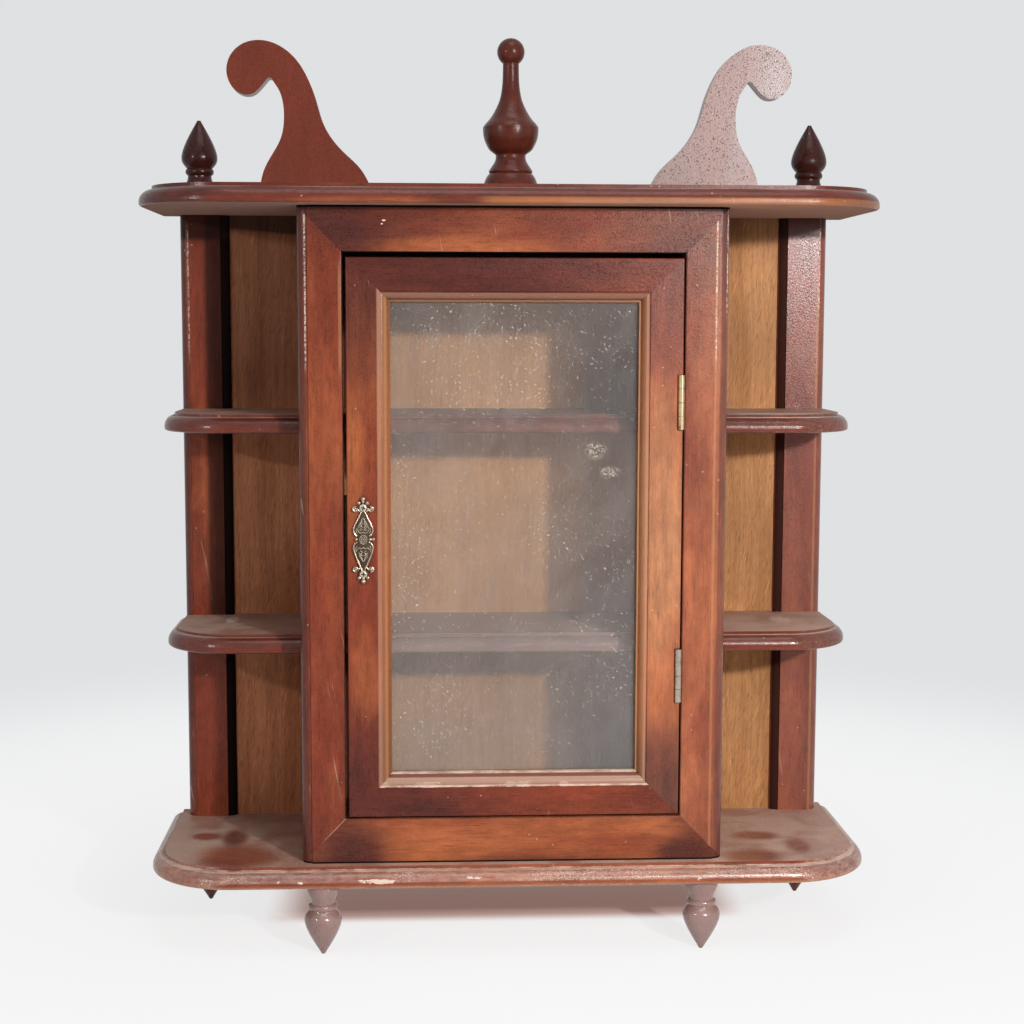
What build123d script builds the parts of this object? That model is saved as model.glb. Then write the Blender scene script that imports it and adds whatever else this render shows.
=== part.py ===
from build123d import *
import os

# A small wall display case for thimbles: a glazed cupboard in the middle, open rounded
# shelves on both sides, and turned and fretted ornaments above and below.
# All sizes are in millimetres. +X is right, +Y is towards the wall, +Z is up.
# The origin is under the middle of the case, level with the points of the turned drops.

# ------------------------------------------------------------------ driving dimensions
# Case
case_depth = 107.0  # front of the face frame to the wall
board_t = 10.0  # top board and bottom board
shelf_t = 9.5
tier_clear = 105.0  # clear height of each of the three tiers
side_t = 9.0  # sides of the glazed cupboard
panel_t = 4.0  # plywood back
panel_recess = 7.5  # wall to the back of the plywood
panel_lap = 5.0  # how far the plywood reaches into an upright's rebate
lap_play = 0.3

# Boards and shelves in plan
board_half_w = 189.0
board_corner_r = 46.0
top_overhang = 17.0  # in front of the face frame
bottom_overhang = 11.5
shelf_inset = 6.6  # a wing shelf's end inside the boards' ends
shelf_setback = 22.5  # behind the front of the face frame
shelf_corner_r = 36.0

# Edge moulding of the boards and shelves: a small step, then a quarter ellipse
board_mould_w = 6.6
board_mould_step = 1.8
shelf_mould_w = 5.4
shelf_mould_step = 1.4
mould_foot = 2.2  # height of the moulding's widest line
arris_r = 1.4

# Uprights at the outer back corners
upright_inset = 11.1  # inside the boards' ends
upright_w = 26.9
upright_proud = 4.0  # in front of the plywood
upright_mould_w = 4.7
upright_mould_d = 3.2
upright_outer_mould_d = 5.8
upright_step = 0.6

# Face frame around the door
frame_t = 16.0
frame_half_w = 108.4
opening_half_w = 86.0
frame_rail_h = 23.2
frame_mould_w = 5.4
frame_mould_d = 5.6
frame_step = 0.8
frame_arris_r = 0.7
side_setin = 1.0  # cupboard side behind the face frame's outer edge

# Door
door_t = 15.6
gap_free = 1.8  # on the pull's side
gap_hinge = 0.8
gap_top = 2.2
gap_bottom = 0.9
door_member_w = 22.0
door_mould_w = 5.3
door_step = 0.8
door_ovolo_w = 4.2
door_ovolo_d = 4.6
door_lip = 8.0  # front face to the glass
door_rebate = 5.0
door_arris_r = 0.8
glass_t = 2.0
glass_play = 0.6
bead_w = 4.4
bead_d = 5.0
brad_r = 0.5
brad_l = 10.0
brad_inset = 28.0
brad_pitch = 72.0

# Butt hinges
hinge_h = 27.4
hinge_high_rise = 236.5  # a hinge's middle above the bottom board
hinge_low_rise = 96.8
barrel_r = 1.75
barrel_proud = 0.6  # the pin's axis in front of the face frame
knuckles = 4
knuckle_play = 0.2
hinge_pin_r = 0.8
pin_play = 0.05
leaf_t = 0.8
leaf_w = 8.6
leaf_play = 0.1
notch_play = 0.3
hinge_screw_spread = 15.0
door_swing_room = 0.3

# Pull
pull_inset = 10.0  # inside the opening's side
pull_rise = 166.8
pull_plate_t = 1.5
pull_relief = 1.4
pull_screw_spread = 33.6
pull_head_r = 2.0

# Door stop with its magnet
stop_low_rise = 116.4
stop_high_rise = 187.6
stop_reach = 12.0  # into the opening
stop_d = 10.0
stop_air = 0.4  # between the door's back and the stop
magnet_r = 3.0
magnet_t = 5.0
strike_r = 4.2
strike_t = 0.8
strike_edge = 0.8  # from the door's outer edge to the strike plate

# Turned drops and finials
drop_h = 37.0
finial_h = 40.0
turning_r = 9.6
turning_tip_r = 0.9
spigot_r = 3.0
spigot_l = 7.0
drop_front_inset = 10.6  # inside the face frame's ends
drop_front_reach = 1.0  # in front of the face frame
drop_back_inset = 23.0  # inside the boards' ends
drop_wall_gap = 17.0  # from the wall
centre_h = 78.2
centre_r = 14.4
centre_ball_r = 7.1

# Fretted scrolls
scroll_t = 10.0
scroll_h = 75.3
scroll_foot_in = 72.0
scroll_foot_w = 57.2

# Dowels, screws and pins
dowel_r = 2.0
shelf_dowel_l = 25.0
board_dowel_l = 18.0
board_dowel_in = 7.0  # part of a dowel that sits in the top board
scroll_dowel_l = 14.0
scroll_dowel_inset = 13.0  # from each end of a scroll's foot
shelf_dowel_inset = 16.0  # from a shelf's front and from the plywood
dowel_play = 0.05
hole_air = 0.4  # a blind hole is this much deeper than what fills it
screw_r = 1.7
screw_head_r = 3.4
screw_l = 25.0
side_screw_inset = 14.0  # from the face frame and from the plywood
upright_screw_inset = 10.6  # from the upright's outer side
upright_screw_wall = 6.5  # from the wall
small_screw_r = 1.0
small_screw_head_r = 1.7
small_screw_l = 9.0
panel_pin_r = 0.6
panel_pin_head_r = 1.6
panel_pin_head_t = 0.6
panel_pin_l = 12.0
panel_pin_pitch = 48.0
panel_pin_inset = 20.0
wing_pin_inset = 12.0
fastener_play = 0.03

# Keyhole hangers on the backs of the uprights
hanger_w = 14.0
hanger_h = 34.0
hanger_t = 1.2
hanger_drop = 30.0  # from the top board to the middle of the plate
keyhole_r = 4.5
keyhole_slot_r = 2.25
keyhole_rise = 9.0
hanger_pocket_d = 6.0
hanger_screw_spread = 26.0

# ------------------------------------------------------------------ derived places
depth = case_depth + top_overhang
wall_y = depth / 2
face_y = wall_y - case_depth
panel_y = wall_y - panel_recess - panel_t
upright_y = panel_y - upright_proud
shelf_y = face_y + shelf_setback
frame_back_y = face_y + frame_t

shelf_half_w = board_half_w - shelf_inset
upright_out = board_half_w - upright_inset
bottom_z = drop_h
floor_z = bottom_z + board_t
shelf_z = [floor_z + tier_clear + n * (tier_clear + shelf_t) for n in range(2)]
ceiling_z = shelf_z[-1] + shelf_t + tier_clear
top_z = ceiling_z + board_t

side_out = frame_half_w - side_setin
side_in = side_out - side_t
upright_in = upright_out - upright_w
opening_low = floor_z + frame_rail_h
opening_high = ceiling_z - frame_rail_h

hinge_low_z = floor_z + hinge_low_rise
hinge_high_z = floor_z + hinge_high_rise
pull_x = -opening_half_w + pull_inset
pull_z = floor_z + pull_rise
stop_low_z = floor_z + stop_low_rise
stop_high_z = floor_z + stop_high_rise

door_left = -opening_half_w + gap_free
door_right = opening_half_w - gap_hinge
door_low = opening_low + gap_bottom
door_high = opening_high - gap_top
door_back_y = face_y + door_t
glass_y = face_y + door_lip
hinge_x = opening_half_w - barrel_r
hinge_y = face_y - barrel_proud

X, Y, Z = (1, 0, 0), (0, 1, 0), (0, 0, 1)
LEFT, DOWN = (-1, 0, 0), (0, 0, -1)


# ------------------------------------------------------------------ helpers
def block(x0, x1, y0, y1, z0, z1):
    """A box between its lowest and highest corners."""
    return Pos((x0 + x1) / 2, (y0 + y1) / 2, (z0 + z1) / 2) * Box(x1 - x0, y1 - y0, z1 - z0)


def rod(start, direction, radius, length):
    """A round bar from a start point along a direction."""
    return extrude(Plane(origin=start, z_dir=direction) * Circle(radius), amount=length)


def mirrored(part):
    """The same piece on the other side of the case."""
    return mirror(part, about=Plane.YZ)


def moulding_waste(width, step, foot, lower_r, height):
    """What a moulding cutter takes off an edge. Local x runs outwards from the edge's widest
    line and local y up from the lower face: a step down, a quarter ellipse, a rounded arris."""
    over = 1.0
    top = (-width, height - step)
    widest = (0, foot)
    lines = Polyline((over, height + over), (-width, height + over), top)
    lines += EllipticalCenterArc((-width, foot), width, height - step - foot, 0, arc_size=90)
    if lower_r:
        lines += Line(widest, (0, lower_r))
        lines += CenterArc((-lower_r, lower_r), lower_r, 270, 90)
        lines += Polyline((-lower_r, 0), (-lower_r, -over), (over, -over), (over, height + over))
    else:
        lines += Polyline(widest, (0, -over), (over, -over), (over, height + over))
    return make_face(lines)


def plan_edge(half_w, front, back, radius, z):
    """The edge of a board from its back right corner round the front to its back left."""
    corners = (half_w, back, z), (half_w, front, z), (-half_w, front, z), (-half_w, back, z)
    return FilletPolyline(*corners, radius=radius)


def moulded_board(front, z0):
    """A board with a straight back and round front corners, moulded on its sides and front."""
    spare = 0.5
    half_w, radius = board_half_w, board_corner_r
    outline = plan_edge(half_w + spare, front - spare, wall_y, radius + spare, z0)
    outline += Line((half_w + spare, wall_y, z0), (-half_w - spare, wall_y, z0))
    blank = extrude(make_face(outline), amount=board_t, dir=Z)
    start = Plane(origin=(half_w, wall_y + 1, z0), x_dir=X, z_dir=(0, -1, 0))
    waste = moulding_waste(board_mould_w, board_mould_step, mould_foot, arris_r, board_t)
    return blank - sweep(start * waste, path=plan_edge(half_w, front, wall_y + 1, radius, z0))


def turned(points):
    """A solid of revolution from (height, radius) points, with splines where three or more
    points follow each other in one run and straight lines between the runs."""
    lines = None
    for run in points:
        spots = [(radius, level) for level, radius in run]
        piece = Line(*spots) if len(spots) == 2 else Spline(*spots)
        lines = piece if lines is None else lines + piece
    first = points[0][0]
    last = points[-1][-1]
    lines += Polyline((last[1], last[0]), (0, last[0]), (0, first[0]))
    if first[1] > 0:
        lines += Line((0, first[0]), (first[1], first[0]))
    return revolve(Plane.XZ * make_face(lines), axis=Axis.Z)


def countersunk(head, direction, radius, head_r, length):
    """A countersunk screw with its flat head at a point, its shank along a direction and a
    cross recess in its head."""
    seat = Plane(origin=head, z_dir=direction)
    cone_h = head_r - radius
    cone = loft([seat * Circle(head_r), seat.offset(cone_h) * Circle(radius)])
    shank_l = length - cone_h - radius * 2
    shank = extrude(seat.offset(cone_h) * Circle(radius), amount=shank_l)
    tip = loft([seat.offset(cone_h + shank_l) * Circle(radius), seat.offset(length) * Circle(radius * 0.2)])
    recess = seat * (Rectangle(head_r * 1.1, head_r * 0.24) + Rectangle(head_r * 0.24, head_r * 1.1))
    return cone + shank + tip - extrude(recess, amount=head_r * 0.35)


def countersunk_hole(head, direction, radius, head_r, length):
    """The hole that a countersunk screw fills, with its play."""
    seat = Plane(origin=head, z_dir=direction)
    cone_h = head_r - radius
    wide, narrow = head_r + fastener_play, radius + fastener_play
    mouth = loft([seat * Circle(wide), seat.offset(cone_h) * Circle(narrow)])
    return mouth + extrude(seat.offset(cone_h) * Circle(narrow), amount=length - cone_h)


def group(pieces):
    """Several identical pieces in one node."""
    return Compound(children=list(pieces))


# ------------------------------------------------------------------ turned ornaments
def turning_runs(height, radius):
    """The profile of a drop or corner finial from its blunt point: bulb, bead, waist and flare."""
    profile = [
        [(0, 0), (0, turning_tip_r / radius)],
        [(0, turning_tip_r / radius), (0.08, 0.28), (0.16, 0.47), (0.25, 0.665), (0.34, 0.835), (0.42, 0.95),
         (0.49, 1), (0.55, 0.965), (0.6, 0.84), (0.628, 0.735)],
        [(0.628, 0.735), (0.64, 0.71)],
        [(0.64, 0.71), (0.655, 0.765), (0.68, 0.79), (0.705, 0.77), (0.722, 0.71)],
        [(0.722, 0.71), (0.735, 0.655)],
        [(0.735, 0.655), (0.79, 0.69), (0.85, 0.79), (0.92, 0.875), (1, 0.9)],
    ]
    return [[(level * height, share * radius) for level, share in run] for run in profile]


def turning(x, y, base_z, height, up):
    """A drop that hangs from a board, or a finial that stands on one, with its spigot."""
    body = turned(turning_runs(height, turning_r))
    body += Pos(0, 0, height + spigot_l / 2) * Cylinder(spigot_r, spigot_l)
    if up:
        return Pos(x, y, base_z + height) * Rot(180, 0, 0) * body
    return Pos(x, y, base_z - height) * body


def centre_turning():
    """The tall middle finial: base, bead, cove, urn, slim neck and ball."""
    profile = [
        [(0, 0.985), (0.045, 0.97), (0.078, 0.915), (0.104, 0.837), (0.119, 0.76)],
        [(0.119, 0.76), (0.13, 0.79), (0.143, 0.76)],
        [(0.143, 0.76), (0.156, 0.717), (0.1765, 0.64), (0.208, 0.553), (0.225, 0.538), (0.2417, 0.545)],
        [(0.2417, 0.545), (0.2545, 0.64), (0.2737, 0.77), (0.307, 0.877), (0.339, 0.95), (0.372, 0.987),
         (0.405, 1)],
        [(0.405, 1), (0.42, 0.997)],
        [(0.42, 0.997), (0.4437, 0.91), (0.469, 0.784), (0.5026, 0.654), (0.5345, 0.555), (0.568, 0.468),
         (0.6, 0.402), (0.633, 0.358), (0.665, 0.329), (0.7, 0.308), (0.762, 0.291), (0.84, 0.285)],
    ]
    runs = [[(level * centre_h, share * centre_r) for level, share in run] for run in profile]
    neck_top, neck_r = runs[-1][-1]
    ball_z = centre_h - centre_ball_r
    body = turned(runs) + Pos(0, 0, ball_z) * Sphere(centre_ball_r)
    body += Pos(0, 0, (neck_top + ball_z) / 2) * Cylinder(neck_r, ball_z - neck_top)
    body += Pos(0, 0, -spigot_l / 2) * Cylinder(spigot_r, spigot_l)
    return Pos(0, 0, top_z) * body


drop_front_x = frame_half_w - drop_front_inset
drop_front_y = face_y - drop_front_reach
drop_back_x = board_half_w - drop_back_inset
drop_back_y = wall_y - drop_wall_gap
drop_places = {
    "front_left_drop": (-drop_front_x, drop_front_y),
    "front_right_drop": (drop_front_x, drop_front_y),
    "rear_left_drop": (-drop_back_x, drop_back_y),
    "rear_right_drop": (drop_back_x, drop_back_y),
}
finial_places = {
    "left_corner_finial": (-drop_back_x, drop_back_y),
    "right_corner_finial": (drop_back_x, drop_back_y),
}
drops = {name: turning(x, y, bottom_z, drop_h, False) for name, (x, y) in drop_places.items()}
finials = {name: turning(x, y, top_z, finial_h, True) for name, (x, y) in finial_places.items()}
centre_finial = centre_turning()


def spigot_hole(x, y, z, direction):
    """A blind hole for a spigot, with a little air past its end."""
    return rod((x, y, z), direction, spigot_r + dowel_play, spigot_l + hole_air)


# ------------------------------------------------------------------ fretted scrolls
def scroll(side):
    """One of the two fretted scrolls: a foot, a swan neck and a curl that turns outwards. The
    outline is in shares of the foot's width and of the height."""
    neck = [(1, 0), (0.988, 0.065), (0.962, 0.133), (0.918, 0.2), (0.864, 0.267), (0.816, 0.335), (0.79, 0.401),
            (0.78, 0.469), (0.78, 0.535), (0.792, 0.602), (0.811, 0.651), (0.844, 0.697), (0.879, 0.736)]
    nook = [(0.879, 0.736), (0.904, 0.7505), (0.93, 0.738)]
    rest = [(0.93, 0.738), (0.983, 0.691), (1.063, 0.642), (1.175, 0.647), (1.259, 0.714), (1.286, 0.805),
            (1.241, 0.908), (1.14, 0.975), (1.005, 1), (0.899, 0.99), (0.809, 0.962), (0.656, 0.863),
            (0.554, 0.73), (0.491, 0.598), (0.439, 0.465), (0.358, 0.351), (0.288, 0.286), (0.192, 0.216),
            (0.108, 0.153), (0.054, 0.093), (0, 0)]
    neck, nook, rest = [
        [(scroll_foot_in + u * scroll_foot_w, v * scroll_h) for u, v in run] for run in (neck, nook, rest)
    ]
    lines = Spline(*neck) + ThreePointArc(*nook) + Spline(*rest) + Line(rest[-1], neck[0])
    board = extrude(Plane.XZ * make_face(lines), amount=scroll_t / 2, both=True)
    board = Pos(0, 0, top_z) * board
    for x in scroll_dowel_x:
        board -= rod((x, 0, top_z), Z, dowel_r + dowel_play, scroll_dowel_l / 2 + hole_air)
    return board if side > 0 else mirrored(board)


scroll_dowel_x = [scroll_foot_in + scroll_dowel_inset, scroll_foot_in + scroll_foot_w - scroll_dowel_inset]
right_scroll = scroll(1)
left_scroll = scroll(-1)
scroll_dowels = group(
    rod((side * x, 0, top_z - scroll_dowel_l / 2), Z, dowel_r, scroll_dowel_l)
    for side in (-1, 1)
    for x in scroll_dowel_x
)

# ------------------------------------------------------------------ fasteners of the case
base_screw_places = [
    (side * x, y)
    for side in (-1, 1)
    for x, y in (
        (side_out - side_t / 2, frame_back_y + side_screw_inset),
        (side_out - side_t / 2, panel_y - side_screw_inset),
        (upright_out - upright_screw_inset, wall_y - upright_screw_wall),
    )
]
base_screws = group(
    countersunk((x, y, bottom_z), Z, screw_r, screw_head_r, screw_l) for x, y in base_screw_places
)
base_screw_holes = [
    countersunk_hole((x, y, bottom_z), Z, screw_r, screw_head_r, screw_l + hole_air)
    for x, y in base_screw_places
]
board_dowels = group(
    rod((x, y, ceiling_z + board_dowel_in), DOWN, dowel_r, board_dowel_l) for x, y in base_screw_places
)
board_dowel_holes = [
    rod((x, y, ceiling_z + board_dowel_in + hole_air), DOWN, dowel_r + dowel_play, board_dowel_l + 2 * hole_air)
    for x, y in base_screw_places
]
shelf_dowel_y = [shelf_y + shelf_dowel_inset, panel_y - shelf_dowel_inset]
shelf_dowel_places = [
    (side * (side_out - side_t / 2), y, z + shelf_t / 2)
    for side in (-1, 1)
    for y in shelf_dowel_y
    for z in shelf_z
]
shelf_dowels = group(
    rod((x - shelf_dowel_l / 2, y, z), X, dowel_r, shelf_dowel_l) for x, y, z in shelf_dowel_places
)
shelf_dowel_holes = [
    rod((x - shelf_dowel_l / 2 - hole_air, y, z), X, dowel_r + dowel_play, shelf_dowel_l + 2 * hole_air)
    for x, y, z in shelf_dowel_places
]

# ------------------------------------------------------------------ boards
bottom_board = moulded_board(face_y - bottom_overhang, bottom_z)
for x, y in drop_places.values():
    bottom_board -= spigot_hole(x, y, bottom_z, Z)
bottom_board -= base_screw_holes

top_board = moulded_board(face_y - top_overhang, ceiling_z)
for x, y in finial_places.values():
    top_board -= spigot_hole(x, y, top_z, DOWN)
top_board -= spigot_hole(0, 0, top_z, DOWN)
top_board -= board_dowel_holes
for side in (-1, 1):
    for x in scroll_dowel_x:
        top_board -= rod((side * x, 0, top_z), DOWN, dowel_r + dowel_play, scroll_dowel_l / 2 + hole_air)

# ------------------------------------------------------------------ uprights and plywood
hanger_z = ceiling_z - hanger_drop
hanger_x = upright_in + panel_lap + lap_play + (upright_w - panel_lap - lap_play) / 2


def hanger_screw_places(side):
    """Heads of one keyhole plate's two screws, above and below the keyhole."""
    return [(side * hanger_x, wall_y, hanger_z + s * hanger_screw_spread / 2) for s in (-1, 1)]


def keyhole(radius, slot_r, start_y, length):
    """A keyhole: a round entry below, and a narrow slot that rises from its middle."""
    entry = rod((hanger_x, start_y, hanger_z - keyhole_rise / 2), (0, -1, 0), radius, length)
    slot_top = rod((hanger_x, start_y, hanger_z + keyhole_rise / 2), (0, -1, 0), slot_r, length)
    slot = block(hanger_x - slot_r, hanger_x + slot_r, start_y - length, start_y,
                 hanger_z - keyhole_rise / 2, hanger_z + keyhole_rise / 2)
    return entry + slot_top + slot


def hanger_plate():
    """The right keyhole plate, let in flush with the back of its upright."""
    plate = block(hanger_x - hanger_w / 2, hanger_x + hanger_w / 2, wall_y - hanger_t, wall_y,
                  hanger_z - hanger_h / 2, hanger_z + hanger_h / 2)
    plate = fillet(plate.edges().filter_by(Axis.Y), hanger_w * 0.3)
    plate -= keyhole(keyhole_r, keyhole_slot_r, wall_y + 1, hanger_t + 2)
    for head in hanger_screw_places(1):
        plate -= countersunk_hole(head, (0, -1, 0), small_screw_r, small_screw_head_r, small_screw_l)
    return plate


def upright():
    """The right upright: moulded on both front edges, rebated for the plywood behind."""
    post = block(upright_in, upright_out, upright_y, wall_y, floor_z, ceiling_z)
    height = ceiling_z - floor_z
    outer_d = upright_outer_mould_d + upright_step
    inner_d = upright_mould_d + upright_step
    # local x points out of the upright and local y forwards, so the plane's normal is up or down
    outer = Plane(origin=(upright_out, upright_y + outer_d, ceiling_z), x_dir=X, z_dir=DOWN)
    inner = Plane(origin=(upright_in, upright_y + inner_d, floor_z), x_dir=LEFT, z_dir=Z)
    post -= extrude(outer * moulding_waste(upright_mould_w, upright_step, 0, 0, outer_d), amount=height)
    post -= extrude(inner * moulding_waste(upright_mould_w, upright_step, 0, 0, inner_d), amount=height)
    post -= block(upright_in - 1, upright_in + panel_lap + lap_play, panel_y, wall_y + 1, floor_z, ceiling_z)
    plate_top = hanger_z + hanger_h / 2
    recess = block(hanger_x - hanger_w / 2, hanger_x + hanger_w / 2, wall_y - hanger_t, wall_y + 1,
                   hanger_z - hanger_h / 2, plate_top)
    recess = fillet(recess.edges().filter_by(Axis.Y), hanger_w * 0.3)
    post -= recess
    post -= keyhole(keyhole_r, keyhole_slot_r + 2, wall_y, hanger_t + hanger_pocket_d)
    for head in hanger_screw_places(1):
        post -= countersunk_hole(head, (0, -1, 0), small_screw_r, small_screw_head_r, small_screw_l + hole_air)
    return post


right_upright = upright()
left_upright = mirrored(right_upright)
right_upright = right_upright - base_screw_holes - board_dowel_holes
left_upright = left_upright - base_screw_holes - board_dowel_holes
right_hanger = hanger_plate()
left_hanger = mirrored(right_hanger)
hanger_screws = group(
    countersunk(head, (0, -1, 0), small_screw_r, small_screw_head_r, small_screw_l)
    for side in (-1, 1)
    for head in hanger_screw_places(side)
)

panel_half_w = upright_in + panel_lap


def spread(low, high, pitch):
    """Evenly spaced places between two ends, about a pitch apart."""
    count = max(1, round((high - low) / pitch))
    return [low + (high - low) * n / count for n in range(count + 1)]


pin_x_end = side_in - panel_pin_inset
pin_x = spread(-pin_x_end, pin_x_end, panel_pin_pitch)
pin_x_wing = [side * x for side in (-1, 1) for x in (side_out + wing_pin_inset, upright_in - wing_pin_inset)]
pin_z_side = spread(floor_z + panel_pin_inset, ceiling_z - panel_pin_inset, panel_pin_pitch)
panel_pin_places = [(x, z + shelf_t / 2) for z in shelf_z for x in pin_x + pin_x_wing]
panel_pin_places += [
    (side * (side_out - side_t / 2), z)
    for side in (-1, 1)
    for z in pin_z_side
    if min(abs(z - level - shelf_t / 2) for level in shelf_z) > shelf_t
]


def panel_pin(x, z):
    """A round-headed pin driven through the plywood from behind."""
    back = panel_y + panel_t
    head = rod((x, back, z), Y, panel_pin_head_r, panel_pin_head_t)
    return head + rod((x, back, z), (0, -1, 0), panel_pin_r, panel_pin_l)


panel_pins = group(panel_pin(x, z) for x, z in panel_pin_places)
panel_pin_holes = [
    rod((x, panel_y + panel_t + 0.1, z), (0, -1, 0), panel_pin_r + fastener_play, panel_pin_l + hole_air)
    for x, z in panel_pin_places
]
back_panel = block(-panel_half_w, panel_half_w, panel_y, panel_y + panel_t, floor_z, ceiling_z)
back_panel -= panel_pin_holes

# ------------------------------------------------------------------ cupboard sides
right_case_side = block(side_in, side_out, frame_back_y, panel_y, floor_z, ceiling_z)
left_case_side = mirrored(right_case_side)
case_holes = base_screw_holes + board_dowel_holes + shelf_dowel_holes + panel_pin_holes
right_case_side -= case_holes
left_case_side -= case_holes


# ------------------------------------------------------------------ shelves
def shelf_waste():
    """What the moulding cutter takes off a shelf's edge."""
    return moulding_waste(shelf_mould_w, shelf_mould_step, mould_foot, arris_r, shelf_t)


def inner_shelf(z):
    """A shelf between the cupboard's sides, moulded on its front edge."""
    board = block(-side_in, side_in, shelf_y, panel_y, z, z + shelf_t)
    # local x points forwards and local y up, so the plane's normal is +X
    start = Plane(origin=(-side_in - 1, shelf_y, z), x_dir=(0, -1, 0), z_dir=LEFT)
    board -= extrude(start * shelf_waste(), amount=-2 * side_in - 2)
    return board - shelf_dowel_holes - panel_pin_holes


def wing_shelf(z):
    """A shelf of the right wing: square at the cupboard's side, round at its outer corner and
    cut back at the upright."""
    spare = 0.5
    reach = upright_y
    outer = shelf_half_w + spare
    edge = FilletPolyline((outer, reach, z), (outer, shelf_y - spare, z), (side_out, shelf_y - spare, z),
                          radius=shelf_corner_r + spare)
    notch = Polyline((side_out, shelf_y - spare, z), (side_out, panel_y, z), (upright_in, panel_y, z),
                     (upright_in, reach, z), (outer, reach, z))
    board = extrude(make_face(edge + notch), amount=shelf_t, dir=Z)
    start = Plane(origin=(shelf_half_w, reach + 1, z), x_dir=X, z_dir=(0, -1, 0))
    path = FilletPolyline((shelf_half_w, reach + 1, z), (shelf_half_w, shelf_y, z), (side_out - 1, shelf_y, z),
                          radius=shelf_corner_r)
    return board - sweep(start * shelf_waste(), path=path)


wing_names = ("lower", "upper")
shelves = {}
for level, z in zip(wing_names, shelf_z):
    shelves["inner_shelf_" + level] = inner_shelf(z)
    right_wing = wing_shelf(z)
    shelves["right_wing_shelf_" + level] = right_wing - shelf_dowel_holes - panel_pin_holes
    shelves["left_wing_shelf_" + level] = mirrored(right_wing) - shelf_dowel_holes - panel_pin_holes


# ------------------------------------------------------------------ mitred frames
def mitred_members(outer, inner, front, thickness):
    """Four members of a frame, mitred from its inner to its outer corners. outer and inner
    are (left, right, low, high)."""
    left, right, low, high = outer
    left_in, right_in, low_in, high_in = inner
    shapes = {
        "left_stile": [(left, low), (left_in, low_in), (left_in, high_in), (left, high)],
        "right_stile": [(right, low), (right, high), (right_in, high_in), (right_in, low_in)],
        "top_rail": [(left, high), (left_in, high_in), (right_in, high_in), (right, high)],
        "bottom_rail": [(left, low), (right, low), (right_in, low_in), (left_in, low_in)],
    }
    plane = Plane(origin=(0, front, 0), x_dir=X, z_dir=(0, -1, 0))
    return {
        name: extrude(plane * make_face(Polyline(*spots, close=True)), amount=-thickness)
        for name, spots in shapes.items()
    }


def edge_runs(left, right, low, high, front):
    """Where a frame's inner edges run: for each member a start point at its outer edge, the
    direction from its outer to its inner edge, and its length. Depth is +Y in each."""
    return {
        "left_stile": ((left, front, low), X, high - low),
        "right_stile": ((right, front, high), LEFT, high - low),
        "bottom_rail": ((right, front, low), Z, right - left),
        "top_rail": ((left, front, high), DOWN, right - left),
    }


def run_along(profile, origin, across, length):
    """Extrudes a profile along a member. Its local x runs across the member and y into it."""
    normal = Vector(*across).cross(Vector(0, 1, 0))
    return extrude(Plane(origin=origin, x_dir=across, z_dir=normal) * profile, amount=length)


def arris(radius, corner, towards_x, towards_y):
    """The waste of a small rounded arris at a corner of a member's section."""
    cx, cy = corner
    square = Pos(cx + towards_x * radius / 2, cy + towards_y * radius / 2) * Rectangle(radius, radius)
    return square - Pos(cx + towards_x * radius, cy + towards_y * radius) * Circle(radius)


# Face frame
frame_outer = (-frame_half_w, frame_half_w, floor_z, ceiling_z)
frame_inner = (-opening_half_w, opening_half_w, opening_low, opening_high)
face_frame = mitred_members(frame_outer, frame_inner, face_y, frame_t)
frame_widths = {
    "left_stile": frame_half_w - opening_half_w,
    "right_stile": frame_half_w - opening_half_w,
    "top_rail": frame_rail_h,
    "bottom_rail": frame_rail_h,
}
frame_edge = moulding_waste(frame_mould_w, frame_step, 0, 0, frame_mould_d + frame_step)
frame_runs = edge_runs(*frame_outer, face_y)
for name, (origin, across, length) in frame_runs.items():
    inner_arris = arris(frame_arris_r, (frame_widths[name], 0), -1, 1)
    face_frame[name] -= run_along(inner_arris, origin, across, length)
frame_edge_y = face_y + frame_mould_d + frame_step
frame_height = ceiling_z - floor_z
outer_edges = [
    extrude(Plane(origin=(frame_half_w, frame_edge_y, ceiling_z), x_dir=X, z_dir=DOWN) * frame_edge,
            amount=frame_height),
    extrude(Plane(origin=(-frame_half_w, frame_edge_y, floor_z), x_dir=LEFT, z_dir=Z) * frame_edge,
            amount=frame_height),
]
for name in face_frame:
    face_frame[name] -= outer_edges

# Door
door_outer = (door_left, door_right, door_low, door_high)
door_inner = (
    door_left + door_member_w,
    door_right - door_member_w,
    door_low + door_member_w,
    door_high - door_member_w,
)
door_frame = mitred_members(door_outer, door_inner, face_y, door_t)


def door_waste():
    """What is cut from a door member's section: the moulding in front, the glazing rebate
    behind, and the small arris round its outer edge."""
    w = door_member_w
    start = w - door_mould_w
    ledge = door_step + door_ovolo_d
    front = Polyline((w + 1, -1), (start, -1), (start, door_step))
    front += EllipticalCenterArc((start, ledge), door_ovolo_w, door_ovolo_d, 270, arc_size=90)
    front += Polyline((start + door_ovolo_w, ledge), (w + 1, ledge), (w + 1, -1))
    back = Pos(w - door_rebate / 2 + 0.5, (door_lip + door_t + 1) / 2)
    back = back * Rectangle(door_rebate + 1, door_t + 1 - door_lip)
    return make_face(front) + back + arris(door_arris_r, (0, 0), 1, 1)


door_cut = door_waste()
for name, (origin, across, length) in edge_runs(*door_outer, face_y).items():
    door_frame[name] -= run_along(door_cut, origin, across, length)

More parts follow.
